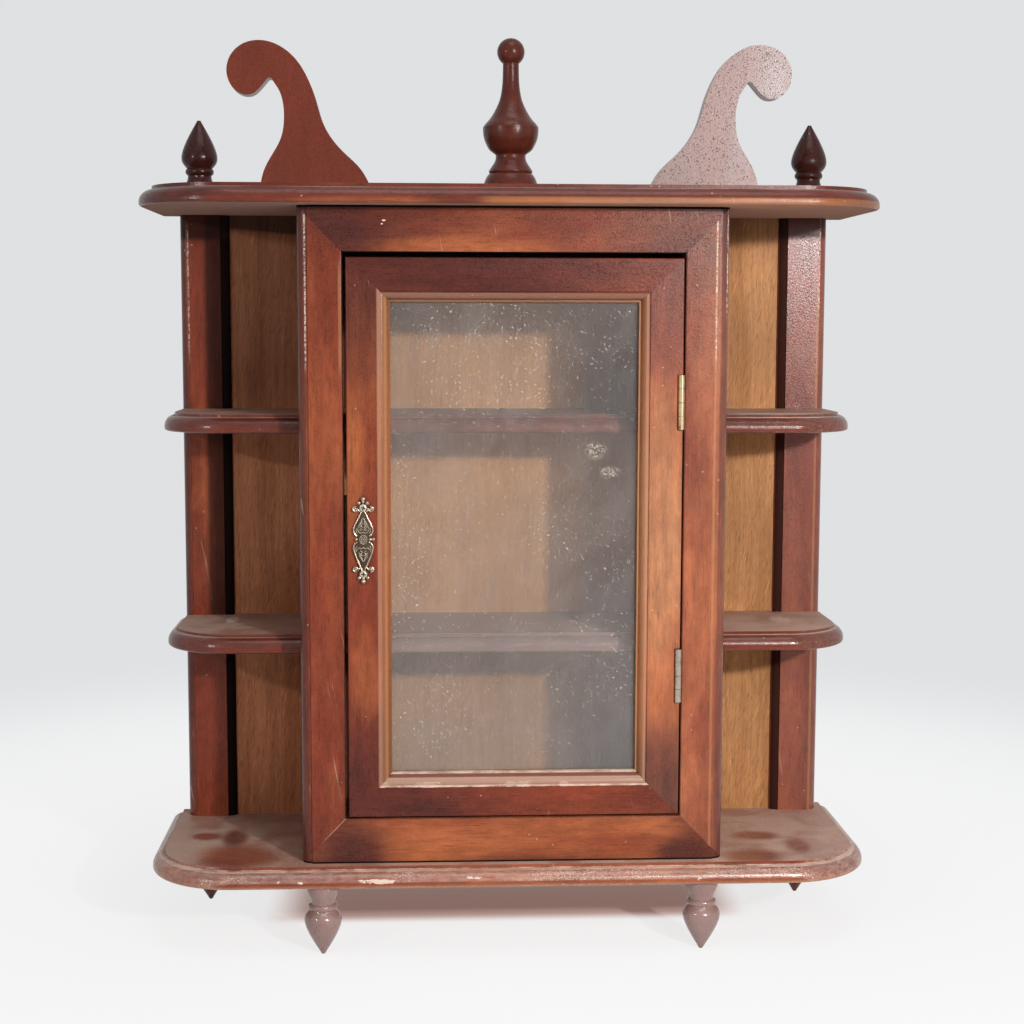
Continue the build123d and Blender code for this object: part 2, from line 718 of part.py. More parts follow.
# Glass and its beads
rebate_box = (
    door_inner[0] - door_rebate,
    door_inner[1] + door_rebate,
    door_inner[2] - door_rebate,
    door_inner[3] + door_rebate,
)
glass_pane = block(
    rebate_box[0] + glass_play, rebate_box[1] - glass_play, glass_y, glass_y + glass_t,
    rebate_box[2] + glass_play, rebate_box[3] - glass_play,
)
bead_inner = (
    rebate_box[0] + bead_w,
    rebate_box[1] - bead_w,
    rebate_box[2] + bead_w,
    rebate_box[3] - bead_w,
)
bead_y = glass_y + glass_t
beads = mitred_members(rebate_box, bead_inner, bead_y, bead_d)
bead_round = arris(bead_d * 0.6, (bead_w, bead_d), -1, -1)
for name, (origin, across, length) in edge_runs(*rebate_box, bead_y).items():
    beads[name] -= run_along(bead_round, origin, across, length)


def brad_places():
    """Where the beads are pinned: (start, direction outwards) two or three to a bead."""
    level = bead_y + bead_d * 0.3
    left, right, low, high = bead_inner
    across = spread(left + brad_inset, right - brad_inset, brad_pitch)
    upwards = spread(low + brad_inset, high - brad_inset, brad_pitch)
    spots = [((x, level, low), DOWN) for x in across] + [((x, level, high), Z) for x in across]
    spots += [((left, level, z), LEFT) for z in upwards] + [((right, level, z), X) for z in upwards]
    return spots


glazing_brads = group(rod(start, way, brad_r, brad_l) for start, way in brad_places())
brad_holes = [
    rod(start, way, brad_r + fastener_play, brad_l + hole_air) for start, way in brad_places()
]
for name in beads:
    beads[name] -= brad_holes
    door_frame[name] -= brad_holes

# ------------------------------------------------------------------ hinges
knuckle_l = (hinge_h - (knuckles - 1) * knuckle_play) / knuckles
leaf_back_y = hinge_y + leaf_w
frame_leaf_x = opening_half_w - leaf_t
door_leaf_x = frame_leaf_x - leaf_play - leaf_t
hinge_levels = {"upper": hinge_high_z, "lower": hinge_low_z}


def hinge_screw_places(z, x):
    """Heads of one leaf's two screws, on the leaf's inner face."""
    y = hinge_y + leaf_w * 0.6
    return [(x, y, z + s * hinge_screw_spread / 2) for s in (-1, 1)]


def leaf(z, plate_x, first, head_x, way):
    """A hinge leaf: a flat plate with every second knuckle from the first, and two screw
    holes whose heads sit at head_x and whose shanks run the given way."""
    low = z - hinge_h / 2
    clear_y = hinge_y + barrel_r + notch_play
    part = block(plate_x, plate_x + leaf_t, clear_y, leaf_back_y, low, low + hinge_h)
    for n in range(first, knuckles, 2):
        foot = low + n * (knuckle_l + knuckle_play)
        part += rod((hinge_x, hinge_y, foot), Z, barrel_r, knuckle_l)
        part += block(plate_x, plate_x + leaf_t, hinge_y + hinge_pin_r, clear_y, foot, foot + knuckle_l)
    part -= rod((hinge_x, hinge_y, low - 1), Z, hinge_pin_r + pin_play, hinge_h + 2)
    for head in hinge_screw_places(z, head_x):
        part -= countersunk_hole(head, way, small_screw_r, small_screw_head_r, small_screw_l)
    return part


hinge_parts = {}
frame_screws, door_screws, frame_screw_holes, door_screw_holes = [], [], [], []
door_cuts = []
for name, z in hinge_levels.items():
    hinge_parts[name + "_hinge_frame_leaf"] = leaf(z, frame_leaf_x, 1, frame_leaf_x, X)
    hinge_parts[name + "_hinge_door_leaf"] = leaf(z, door_leaf_x, 0, door_leaf_x + leaf_t, LEFT)
    hinge_parts[name + "_hinge_pin"] = rod((hinge_x, hinge_y, z - hinge_h / 2), Z, hinge_pin_r, hinge_h)
    for head in hinge_screw_places(z, frame_leaf_x):
        frame_screws.append(countersunk(head, X, small_screw_r, small_screw_head_r, small_screw_l))
        frame_screw_holes.append(
            countersunk_hole(head, X, small_screw_r, small_screw_head_r, small_screw_l + hole_air)
        )
    for head in hinge_screw_places(z, door_leaf_x + leaf_t):
        door_screws.append(countersunk(head, LEFT, small_screw_r, small_screw_head_r, small_screw_l))
        door_screw_holes.append(
            countersunk_hole(head, LEFT, small_screw_r, small_screw_head_r, small_screw_l + hole_air)
        )
    half = hinge_h / 2 + notch_play
    barrel_room = hinge_x - barrel_r - notch_play
    door_cuts.append(
        block(barrel_room, door_right + 1, face_y - 1, hinge_y + barrel_r + notch_play, z - half, z + half)
    )
    door_cuts.append(
        block(door_leaf_x, door_right + 1, face_y - 1, leaf_back_y, z - half, z + half)
    )
hinge_frame_screws = group(frame_screws)
hinge_door_screws = group(door_screws)
face_frame["right_stile"] -= frame_screw_holes
door_frame["right_stile"] = door_frame["right_stile"] - door_cuts - door_screw_holes

# ------------------------------------------------------------------ pull and its screws
pull_screw_z = [pull_z + s * pull_screw_spread / 2 for s in (-1, 1)]


def pull():
    """A small cast pull: two pointed cartouches joined at a knot, with eyes for its screws. Its
    relief is drawn in shares of the distance from its middle to a screw."""
    half = pull_screw_spread / 2
    edge = [(0.077, 0.857), (0.155, 0.655), (0.25, 0.476), (0.292, 0.321), (0.262, 0.19), (0.185, 0.095),
            (0.167, 0)]
    side = [(u * half, v * half) for u, v in edge]
    side += [(x, -z) for x, z in reversed(side[:-1])]
    outline = Spline(*side) + Line(side[-1], (-side[-1][0], side[-1][1]))
    outline += Spline(*[(-x, z) for x, z in reversed(side)]) + Line((-side[0][0], side[0][1]), side[0])
    shape = make_face(outline)
    for up in (-1, 1):
        shape += Pos(0, up * half) * Circle(0.16 * half)
        shape += Pos(0, up * 1.25 * half) * Circle(0.077 * half)
        shape += Pos(0, up * 1.18 * half) * Rectangle(0.083 * half, 0.12 * half)
        for out in (-1, 1):
            shape += Pos(out * 0.22 * half, up * 0.923 * half) * Circle(0.09 * half)
            shape += Pos(out * 0.155 * half, up * 0.952 * half) * Rectangle(0.13 * half, 0.07 * half)
    plane = Plane(origin=(pull_x, face_y, pull_z), x_dir=X, z_dir=(0, -1, 0))
    plate = extrude(plane * shape, amount=pull_plate_t)
    raised = plane.offset(pull_plate_t)
    crest = raised.offset(pull_relief)
    for up in (-1, 1):
        spot = Pos(0, up * 0.43 * half)
        plate += loft([raised * spot * Ellipse(0.155 * half, 0.26 * half),
                       crest * spot * Ellipse(0.095 * half, 0.19 * half)])
    knot = raised.offset(pull_relief * 1.3)
    plate += loft([raised * Circle(0.155 * half), knot * Circle(0.1 * half)])
    for z in pull_screw_z:
        plate -= rod((pull_x, face_y + 1, z), (0, -1, 0), small_screw_r + fastener_play, pull_plate_t + 3)
    return plate


def pull_screw(z):
    """A round-headed screw through one eye of the pull into the door."""
    seat = Plane(origin=(pull_x, face_y - pull_plate_t, z), z_dir=(0, -1, 0))
    dome = extrude(seat * Circle(pull_head_r), amount=pull_head_r * 0.55)
    dome = fillet(dome.edges().sort_by(Axis.Y)[0], pull_head_r * 0.4)
    slots = seat.offset(pull_head_r * 0.3) * (
        Rectangle(pull_head_r, pull_head_r * 0.25) + Rectangle(pull_head_r * 0.25, pull_head_r)
    )
    dome -= extrude(slots, amount=pull_head_r)
    return dome + rod((pull_x, face_y - pull_plate_t, z), Y, small_screw_r, small_screw_l)


pull_handle = pull()
pull_screws = group(pull_screw(z) for z in pull_screw_z)
door_frame["left_stile"] -= [
    rod((pull_x, face_y - 1, z), Y, small_screw_r + fastener_play, small_screw_l + 1 + hole_air)
    for z in pull_screw_z
]

# ------------------------------------------------------------------ door stop and magnet
stop_y = frame_back_y
magnet_z = (stop_low_z + stop_high_z) / 2
magnet_x = -opening_half_w + gap_free + strike_r + strike_edge
door_stop = block(-side_in, -opening_half_w + stop_reach, stop_y, stop_y + stop_d, stop_low_z, stop_high_z)
door_stop -= rod((magnet_x, stop_y - 1, magnet_z), Y, magnet_r + fastener_play, magnet_t + 1)
catch_magnet = rod((magnet_x, stop_y, magnet_z), Y, magnet_r, magnet_t)
strike_head = (magnet_x, door_back_y, magnet_z)
strike_plate = rod(strike_head, (0, -1, 0), strike_r, strike_t)
strike_hole = countersunk_hole(strike_head, (0, -1, 0), small_screw_r, small_screw_head_r, small_screw_l)
strike_plate -= strike_hole
strike_screw = countersunk(strike_head, (0, -1, 0), small_screw_r, small_screw_head_r, small_screw_l)
door_frame["left_stile"] -= rod(strike_head, (0, -1, 0), strike_r + fastener_play, strike_t)
door_frame["left_stile"] -= strike_hole

# ------------------------------------------------------------------ export
parts = {
    "top_board": top_board,
    "bottom_board": bottom_board,
    "left_upright": left_upright,
    "right_upright": right_upright,
    "back_panel": back_panel,
    "left_case_side": left_case_side,
    "right_case_side": right_case_side,
    "glass_pane": glass_pane,
    "glazing_brads": glazing_brads,
    "hinge_frame_screws": hinge_frame_screws,
    "hinge_door_screws": hinge_door_screws,
    "pull_handle": pull_handle,
    "pull_screws": pull_screws,
    "door_stop": door_stop,
    "catch_magnet": catch_magnet,
    "strike_plate": strike_plate,
    "strike_screw": strike_screw,
    "left_scroll": left_scroll,
    "right_scroll": right_scroll,
    "centre_finial": centre_finial,
    "shelf_dowels": shelf_dowels,
    "scroll_dowels": scroll_dowels,
    "board_dowels": board_dowels,
    "base_screws": base_screws,
    "left_hanger": left_hanger,
    "right_hanger": right_hanger,
    "hanger_screws": hanger_screws,
    "panel_pins": panel_pins,
}
parts.update(drops)
parts.update(finials)
parts.update(shelves)
parts.update(hinge_parts)
parts.update({"face_frame_" + name: shape for name, shape in face_frame.items()})
parts.update({"door_" + name: shape for name, shape in door_frame.items()})
parts.update({"glazing_bead_" + name: shape for name, shape in beads.items()})

os.makedirs("parts", exist_ok=True)
for name, shape in parts.items():
    export_step(shape, f"parts/{name}.step")
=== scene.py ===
import math

import bpy
from mathutils import Matrix, Vector


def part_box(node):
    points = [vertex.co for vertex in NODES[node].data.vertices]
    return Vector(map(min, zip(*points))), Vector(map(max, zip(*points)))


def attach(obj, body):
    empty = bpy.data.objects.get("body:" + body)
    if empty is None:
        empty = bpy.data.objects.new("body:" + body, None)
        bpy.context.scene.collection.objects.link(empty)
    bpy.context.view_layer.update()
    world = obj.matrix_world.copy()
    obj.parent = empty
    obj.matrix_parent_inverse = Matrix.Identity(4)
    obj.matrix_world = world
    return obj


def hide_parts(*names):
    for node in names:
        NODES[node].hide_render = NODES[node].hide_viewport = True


bl_info = {
    "name": "Thimble display case",
    "version": (1, 0, 0),
    "blender": (4, 5, 0),
    "location": "View3D > Sidebar > Thimble case",
    "description": "Finishes a mahogany-stained case for thimbles and sets it on a plain stage",
    "category": "Object",
}

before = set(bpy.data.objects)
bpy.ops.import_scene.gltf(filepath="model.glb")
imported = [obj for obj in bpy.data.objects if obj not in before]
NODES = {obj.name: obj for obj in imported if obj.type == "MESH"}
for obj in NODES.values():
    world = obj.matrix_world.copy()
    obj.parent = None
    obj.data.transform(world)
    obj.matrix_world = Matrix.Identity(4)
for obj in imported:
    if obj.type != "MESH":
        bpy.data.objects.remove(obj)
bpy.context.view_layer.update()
MM = 0.001
WHITE = (1.0, 1.0, 1.0)


# ---------------------------------------------------------------- settings
class CaseFinish(bpy.types.PropertyGroup):
    """Colours and sizes of the finishes."""

    warm_stain: bpy.props.FloatVectorProperty(
        name="Warm stain", description="Stained wood where the stain is thin",
        subtype="COLOR", size=3, min=0, max=1, default=(0.415, 0.116, 0.040))
    red_stain: bpy.props.FloatVectorProperty(
        name="Red stain", description="Stained wood of the usual strength",
        subtype="COLOR", size=3, min=0, max=1, default=(0.215, 0.040, 0.018))
    dark_stain: bpy.props.FloatVectorProperty(
        name="Dark stain", description="Stained wood where the stain has pooled",
        subtype="COLOR", size=3, min=0, max=1, default=(0.080, 0.018, 0.014))
    bare_wood: bpy.props.FloatVectorProperty(
        name="Bare wood", description="Wood that shows in chips and at unstained backs",
        subtype="COLOR", size=3, min=0, max=1, default=(0.62, 0.42, 0.27))
    plywood: bpy.props.FloatVectorProperty(
        name="Plywood", description="Face of the plywood back",
        subtype="COLOR", size=3, min=0, max=1, default=(0.50, 0.235, 0.092))
    dust: bpy.props.FloatVectorProperty(
        name="Dust", description="Dust on shelves and boards",
        subtype="COLOR", size=3, min=0, max=1, default=(0.52, 0.355, 0.278))
    pore_length: bpy.props.FloatProperty(
        name="Pore length", description="Length of the wood's pores",
        subtype="DISTANCE", unit="LENGTH", min=0.001, max=0.05, default=0.012)
    gloss: bpy.props.FloatProperty(
        name="Lacquer roughness", description="How dull the lacquer is",
        subtype="FACTOR", min=0.05, max=0.8, default=0.28)
    sheen: bpy.props.FloatProperty(
        name="Lacquer reflection", description="How strongly the lacquer reflects",
        subtype="FACTOR", min=0, max=1, default=0.24)
    peel: bpy.props.FloatProperty(
        name="Orange peel", description="Height of the lacquer's orange peel",
        subtype="DISTANCE", unit="LENGTH", min=0, max=0.0002, default=0.00007)


class PullSizes(bpy.types.PropertyGroup):
    """Sizes of the cast pull's relief."""

    rim: bpy.props.FloatProperty(
        name="Rim radius", description="Radius of the raised rims",
        subtype="DISTANCE", unit="LENGTH", min=0.0001, max=0.001, default=0.00045)
    plate: bpy.props.FloatProperty(
        name="Plate thickness", description="Thickness of the plate behind the relief",
        subtype="DISTANCE", unit="LENGTH", min=0.0005, max=0.003, default=0.0013)


class StageSettings(bpy.types.PropertyGroup):
    """Camera, lamps and floor."""

    eye: bpy.props.FloatVectorProperty(
        name="Camera place", description="Where the camera stands",
        subtype="TRANSLATION", unit="LENGTH", size=3, default=(-0.04534, -0.93871, 0.32333))
    turn: bpy.props.FloatProperty(
        name="Camera turn", description="Turn to the right of straight at the wall",
        subtype="ANGLE", unit="ROTATION", default=math.radians(2.8357))
    tilt: bpy.props.FloatProperty(
        name="Camera tilt", description="Tilt below the horizon",
        subtype="ANGLE", unit="ROTATION", default=math.radians(6.0679))
    roll: bpy.props.FloatProperty(
        name="Camera roll", description="Roll about the line of sight",
        subtype="ANGLE", unit="ROTATION", default=math.radians(-0.1414))
    lens: bpy.props.FloatProperty(
        name="Focal length", description="Focal length on a sensor 36 mm wide",
        min=20, max=200, default=62.642)
    key_power: bpy.props.FloatProperty(
        name="Main lamp", description="Power of the main lamp",
        subtype="POWER", unit="POWER", min=0, max=200, default=7.4)
    glare_power: bpy.props.FloatProperty(
        name="Soft box", description="Power of the soft box that glances off the right side",
        subtype="POWER", unit="POWER", min=0, max=50, default=1.9)
    fill_power: bpy.props.FloatProperty(
        name="Left lamp", description="Power of the weak lamp on the left",
        subtype="POWER", unit="POWER", min=0, max=50, default=1.2)
    top_power: bpy.props.FloatProperty(
        name="Overhead lamp", description="Power of the overhead lamp",
        subtype="POWER", unit="POWER", min=0, max=200, default=5.9)
    sky: bpy.props.FloatProperty(
        name="Ambient light", description="Strength of the light from all round",
        min=0, max=1, default=0.16)
    floor: bpy.props.FloatVectorProperty(
        name="Floor", description="Colour of the floor",
        subtype="COLOR", size=3, min=0, max=1, default=(0.86, 0.86, 0.86))
    backdrop: bpy.props.FloatVectorProperty(
        name="Background", description="Colour of the background",
        subtype="COLOR", size=3, min=0, max=1, default=(0.74, 0.75, 0.76))


# ---------------------------------------------------------------- shader helpers
def add(tree, kind, values=None, **options):
    """Adds a shader node, sets its options and fills its inputs with values or links."""
    made = tree.nodes.new(kind)
    for name, value in options.items():
        setattr(made, name, value)
    for key, value in (values or {}).items():
        if isinstance(value, bpy.types.NodeSocket):
            tree.links.new(value, made.inputs[key])
        else:
            made.inputs[key].default_value = value
    return made


def rgba(colour):
    return (*colour[:3], 1.0)


def tinted(colour, shares):
    """A colour times a share for each channel."""
    return tuple(value * share for value, share in zip(colour, shares))


def coords(tree):
    return add(tree, "ShaderNodeTexCoord").outputs["Object"]


def shift_scale(tree, vector, scale, shift=(0, 0, 0), lean=0.0):
    """A pattern's own coordinates: leaned over in the front plane, stretched and moved."""
    if lean:
        vector = add(tree, "ShaderNodeMapping", {
            "Vector": vector, "Rotation": (0, math.radians(-lean), 0)}).outputs["Vector"]
    return add(tree, "ShaderNodeMapping", {
        "Vector": vector, "Scale": scale, "Location": shift}).outputs["Vector"]


def along(axis, share):
    """A scale that stretches a pattern along one axis."""
    return tuple(share if letter == axis else 1.0 for letter in "XYZ")


def noise(tree, vector, scale, detail=2.0, roughness=0.5, distortion=0.0, out="Fac"):
    return add(tree, "ShaderNodeTexNoise", {
        "Vector": vector, "Scale": scale, "Detail": detail, "Roughness": roughness,
        "Distortion": distortion}).outputs[out]


def ease(tree, value, low, high, start=0.0, end=1.0):
    """A smooth step from start to end as a value passes from low to high."""
    return add(tree, "ShaderNodeMapRange", {
        "Value": value, "From Min": low, "From Max": high, "To Min": start, "To Max": end},
        interpolation_type="SMOOTHSTEP").outputs["Result"]


def calc(tree, operation, first, second=0.0, third=0.0):
    made = add(tree, "ShaderNodeMath", {0: first, 1: second, 2: third}, operation=operation)
    return made.outputs["Value"]


def vector_calc(tree, operation, first, second=(0, 0, 0), third=(0, 0, 0)):
    """Vector arithmetic; a length or a dot product comes back as a value."""
    made = add(tree, "ShaderNodeVectorMath", {0: first, 1: second, 2: third}, operation=operation)
    return made.outputs["Value" if operation in ("LENGTH", "DOT_PRODUCT") else "Vector"]


def product(tree, *factors):
    """The product of several values."""
    total = factors[0]
    for factor in factors[1:]:
        total = calc(tree, "MULTIPLY", total, factor)
    return total


def largest(tree, *values):
    """The largest of several values."""
    most = values[0]
    for value in values[1:]:
        most = calc(tree, "MAXIMUM", most, value)
    return most


def mix(tree, factor, first, second, blend="MIX"):
    """Blends two colours."""
    def full(colour):
        return colour if isinstance(colour, bpy.types.NodeSocket) else rgba(colour)
    made = add(tree, "ShaderNodeMix", {0: factor, 6: full(first), 7: full(second)},
               data_type="RGBA", blend_type=blend)
    return made.outputs[2]


def shade(tree, colour, level):
    """Multiplies a colour by a grey level."""
    return add(tree, "ShaderNodeVectorMath", {0: colour, "Scale": level},
               operation="SCALE").outputs["Vector"]


def near(tree, vector, centre, reach):
    """1 at a place, falling to 0 at the given reach along each axis (in mm)."""
    scale = tuple(1000.0 / r for r in reach)
    shift = tuple(-c / r for c, r in zip(centre, reach))
    far = vector_calc(tree, "LENGTH", shift_scale(tree, vector, scale, shift))
    return ease(tree, far, 1.0, 0.35)


def split(tree, vector):
    return add(tree, "ShaderNodeSeparateXYZ", {"Vector": vector}).outputs


def band(tree, value, low, high, soft):
    """1 where a value in metres lies between two levels in mm, with soft ends in mm."""
    rise = ease(tree, value, (low - soft) * MM, low * MM)
    fall = ease(tree, value, high * MM, (high + soft) * MM, 1.0, 0.0)
    return calc(tree, "MULTIPLY", rise, fall)


def bump(tree, height, distance, below=None):
    values = {"Height": height, "Distance": distance, "Strength": 1.0}
    if below is not None:
        values["Normal"] = below
    return add(tree, "ShaderNodeBump", values).outputs["Normal"]


def wandering(tree, place, scale, reach, detail=2.0):
    """Coordinates that wander by up to a reach in metres, so that no pattern runs straight."""
    drift = noise(tree, place, scale, detail, out="Color")
    return vector_calc(tree, "MULTIPLY_ADD", drift, (reach, reach, reach), place)


def facing(tree):
    """The parts along the three axes of the direction that the surface faces."""
    return split(tree, add(tree, "ShaderNodeNewGeometry").outputs["Normal"])


def moulded(tree):
    """1 on mouldings and other curves, 0 on flats that face along an axis."""
    squarest = largest(tree, *(calc(tree, "ABSOLUTE", way) for way in facing(tree)))
    return ease(tree, squarest, 0.995, 0.965)


def seen_rays(tree):
    """1 for what the camera sees, also in a reflection or through glass, and 0 for other light."""
    path = add(tree, "ShaderNodeLightPath").outputs
    return largest(tree, path["Is Camera Ray"], path["Is Glossy Ray"], path["Is Transmission Ray"])


def new_material(name):
    made = bpy.data.materials.new(name)
    made.use_nodes = True
    tree = made.node_tree
    tree.nodes.clear()
    output = add(tree, "ShaderNodeOutputMaterial")
    return made, tree, output


def principled(tree, output, values):
    shader = add(tree, "ShaderNodeBsdfPrincipled", values)
    tree.links.new(shader.outputs["BSDF"], output.inputs["Surface"])


def coat(names, material):
    """Gives CAD nodes a material."""
    for name in names:
        slots = NODES[name].material_slots
        if len(slots) == 0:
            NODES[name].data.materials.append(material)
        for slot in slots:
            slot.material = material


# ---------------------------------------------------------------- stained wood
# One row for each member of the face frame and the door: grain axis, share of warm stain, where
# the dark ends start and where they are full (from a centre, along the grain, in mm), and that
# centre.
STAINED = {
    "face_frame_left_stile": ("Z", 0.10, 130, 185, 215),
    "face_frame_right_stile": ("Z", 0.50, 120, 200, 200),
    "face_frame_top_rail": ("X", 0.30, 15, 100, 12),
    "face_frame_bottom_rail": ("X", 0.80, 62, 92, 8),
    "door_left_stile": ("Z", 0.30, 40, 125, 218),
    "door_right_stile": ("Z", 0.85, 85, 150, 205),
    "door_top_rail": ("X", 0.0, 0, 60, 75),
    "door_bottom_rail": ("X", 0.10, 5, 75, 30),
}

# Open mitres: a corner that the joint runs through, its normal, its paint and its reach.
MITRES = {
    "face_frame_left_stile": [((-87, -45, 69.2), (23.2, 0, -22.4), "worn", 19)],
    "face_frame_right_stile": [((86, -45, 70.2), (23.2, 0, 22.4), "gap", 60)],
    "door_right_stile": [((85.2, -45, 355.6), (1, 0, -1), "gap", 60)],
}

# Places where the stain has another tone: the tone, the centre and the reach along each axis.
SPOTS = {
    "face_frame_bottom_rail": [
        ("dark", (-78, -45, 54), (22, 30, 20)), ("warm", (-12, -45, 61), (44, 30, 12)),
        ("dark", (20, -45, 48), (75, 30, 8)), ("red", (58, -45, 60), (30, 30, 9)),
        ("dark", (92, -45, 52), (24, 30, 16))],
    "face_frame_top_rail": [
        ("warm", (-20, -45, 363), (62, 30, 9)), ("dark", (-90, -45, 372), (34, 30, 18))],
    "door_left_stile": [
        ("warm", (-78, -45, 250), (9, 30, 60)), ("dark", (-80, -45, 90), (14, 30, 26)),
        ("warm", (-72, -45, 150), (10, 30, 34))],
    "door_right_stile": [
        ("honey", (76, -45, 222), (20, 30, 92)), ("dark", (80, -45, 92), (26, 30, 42)),
        ("red", (78, -45, 330), (26, 30, 50))],
    "door_bottom_rail": [("dark", (-44, -45, 76), (26, 30, 10))],
    "top_board": [
        ("warm", (-70, -60, 384), (50, 30, 5)), ("warm", (30, -60, 383), (60, 30, 5)),
        ("warm", (130, -55, 383), (50, 40, 5)), ("dark", (-165, -30, 385), (50, 70, 30)),
        ("dark", (185, -30, 386), (24, 60, 9))],
    "bottom_board": [("dark", (-144, 6, 47), (10, 22, 40))],
    "left_upright": [("red", (-166, 46, 90), (30, 60, 60))],
}

# Bands in height where the edge is chipped: two levels, and the worst places.
CHIPS = {
    "door_bottom_rail": [
        (86.6, 88.8, [((2, -45, 87.9), (13, 19, 4)), ((-43, -45, 87.8), (11, 19, 3)),
                      ((-66, -45, 88), (4, 19, 3)), ((26, -45, 87.4), (4, 19, 3))]),
        (92.0, 93.4, [((-10, -45, 92.8), (8, 19, 3))])],
    "face_frame_top_rail": [
        (370.0, 376.0, [((-65, -45, 373.6), (1.5, 19, 0.7)), ((-66, -45, 371.8), (0.9, 19, 0.6))])],
    "bottom_board": [
        (37.5, 43.5, [((-70.5, -57, 40.7), (18, 29, 1.9)), ((-20, -60, 42), (7, 29, 1.2)),
                      ((-119.5, -58, 41), (1.6, 29, 1.0)), ((-108.6, -58, 40.5), (2.2, 29, 1.0)),
                      ((95, -57, 40), (3, 29, 1.2))])],
    "wing_shelves": [
        (159.8, 162.0, [((150, 20, 161), (10, 20, 3)), ((-150, 30, 161), (6, 20, 3))]),
    ],
}

# Painted lines and bands, many of them painted shade and painted highlights: axis, two levels and a
# tone, and for some where they start and end on the other axis. Levels on X hold on both sides.
# painted shade along the face frame's top, under the top board
FRAME_TOP_SHADE = ("Z", 380.0, 381.5, "black")
LINES = {
    "face_frame_left_stile": [
        FRAME_TOP_SHADE, ("X", 104.0, 104.5, "bright", 308, 374), ("X", 86.9, 87.4, "gold", 305, 345)],
    "face_frame_right_stile": [
        FRAME_TOP_SHADE, ("X", 101.3, 101.7, "gold", 50, 372), ("X", 101.3, 101.7, "bright", 310, 374),
        ("X", 107.0, 107.4, "bright", 335, 374)],
    "face_frame_bottom_rail": [("Z", 47.0, 47.7, "black")],
    "face_frame_top_rail": [FRAME_TOP_SHADE, ("Z", 357.0, 358.2, "black")],
    "door_left_stile": [
        ("X", 62.4, 66.6, "bronze"), ("X", 67.3, 68.4, "pale"), ("X", 64.3, 64.9, "gold")],
    "door_right_stile": [
        ("X", 63.9, 66.6, "bronze"), ("X", 67.0, 67.5, "pale"), ("X", 62.8, 63.7, "gold")],
    "door_top_rail": [
        ("Z", 335.4, 337.8, "soft"), ("Z", 333.6, 334.4, "gold"), ("Z", 331.0, 332.8, "black")],
    "door_bottom_rail": [
        ("Z", 86.8, 95.5, "dust"), ("Z", 91.2, 91.9, "seam"), ("Z", 86.7, 87.3, "worn"),
        ("Z", 92.5, 93.4, "worn")],
    "top_board": [("Z", 381.4, 383.8, "bronze", -10, 200), ("Z", 381.5, 382.1, "soft", 30, 140)],
    "bottom_board": [("Z", 37.0, 38.2, "bronze"), ("Z", 44.9, 45.3, "worn")],
    "left_upright": [
        # painted shadow of the face frame, painted shade in the slot and under the top board, and a
        # painted highlight on the arris
        ("X", 156.0, 162.5, "shadow", 165, 400), ("X", 150.0, 155.6, "black"),
        ("Z", 370.0, 400.0, "shadow"), ("X", 173.1, 173.6, "bright", 310, 366)],
    "right_upright": [
        # painted shade in the slot and under the top board, and painted highlights on the arris
        ("X", 151.6, 155.6, "gap"), ("Z", 372.0, 400.0, "shadow"),
        ("X", 172.9, 173.5, "gold", 50, 340),
        ("X", 173.6, 174.0, "bright", 335, 372)],
}

# Where the dust of the bottom board has been wiped, and where it has caked on a wing shelf.
WIPED = [((-144, 6, 47), (10, 22, 40)), ((-140, -28, 47), (30, 30, 40)),
         ((-160, 9, 47), (13, 10, 40)), ((131, -37, 47), (23, 17, 40)),
         ((137, 0, 47), (18, 12, 40)), ((157, -19, 47), (9, 20, 40))]
CAKED = [((140, -16, 276), (36, 20, 12))]

# Paint, strength, what breaks a line up, and softness in mm, of lines and bands on the wood, many
# of them painted shade and painted highlights.
LINE_TONES = {
    # painted shade in gaps and slots, under the top board and at the glass's top
    "black": ((0.012, 0.007, 0.006), 1.0, None, 0.35),
    # dark of open mitres, and painted shade in the slot beside the right upright
    "gap": ((0.045, 0.016, 0.012), 1.0, None, 0.35),
    # painted shade in a moulding's crease
    "seam": ((0.17, 0.045, 0.027), 0.85, None, 0.35),
    "shadow": ((0.020, 0.012, 0.011), 0.74, None, 4.0),
    # painted highlight on the door's bead
    "pale": ((0.56, 0.30, 0.20), 0.48, None, 0.8),
    # painted highlight along the top board's lower edge, and a lighter band on the door's top
    # moulding
    "soft": ((0.34, 0.165, 0.105), 0.60, None, 0.5),
    # painted highlights on arrises
    "gold": ((0.50, 0.25, 0.115), 0.38, None, 0.8),
    # painted sheen along the boards' edges, and a lighter worn band on the door's side mouldings
    "bronze": ((0.50, 0.22, 0.08), 0.34, None, 1.2),
    "dust": ((0.47, 0.285, 0.205), 0.80, None, 0.35),
    # pale wear at an open mitre and on the door's bottom moulding, partly painted highlight there,
    # and a painted highlight on the bottom board's fillet
    "worn": ((0.78, 0.60, 0.48), 0.85, "mottle", 0.35),
    # painted highlights on arrises
    "bright": ((0.86, 0.70, 0.61), 0.70, "crumbs", 0.3),
}
# tones of painted shade, which also take the lacquer's reflection away
PAINTED_SHADE_TONES = ("black", "gap", "shadow")
LINE_ENDS = 12.0
HONEY_STAIN = (0.52, 0.225, 0.098)
WORN_WOOD = (0.74, 0.57, 0.48)
# pale of moulding edges: partly wear, partly painted glints
PALE_WEAR_AND_GLINT = (0.78, 0.57, 0.46)
# a milky veil, partly painted sheen
MILKY_VEIL_AND_SHEEN = (0.80, 0.64, 0.59)
# painted bounce light on undersides
PAINTED_BOUNCE_UNDERSIDE = (0.50, 0.33, 0.26)
CAKED_DUST = (0.93, 0.88, 0.82)


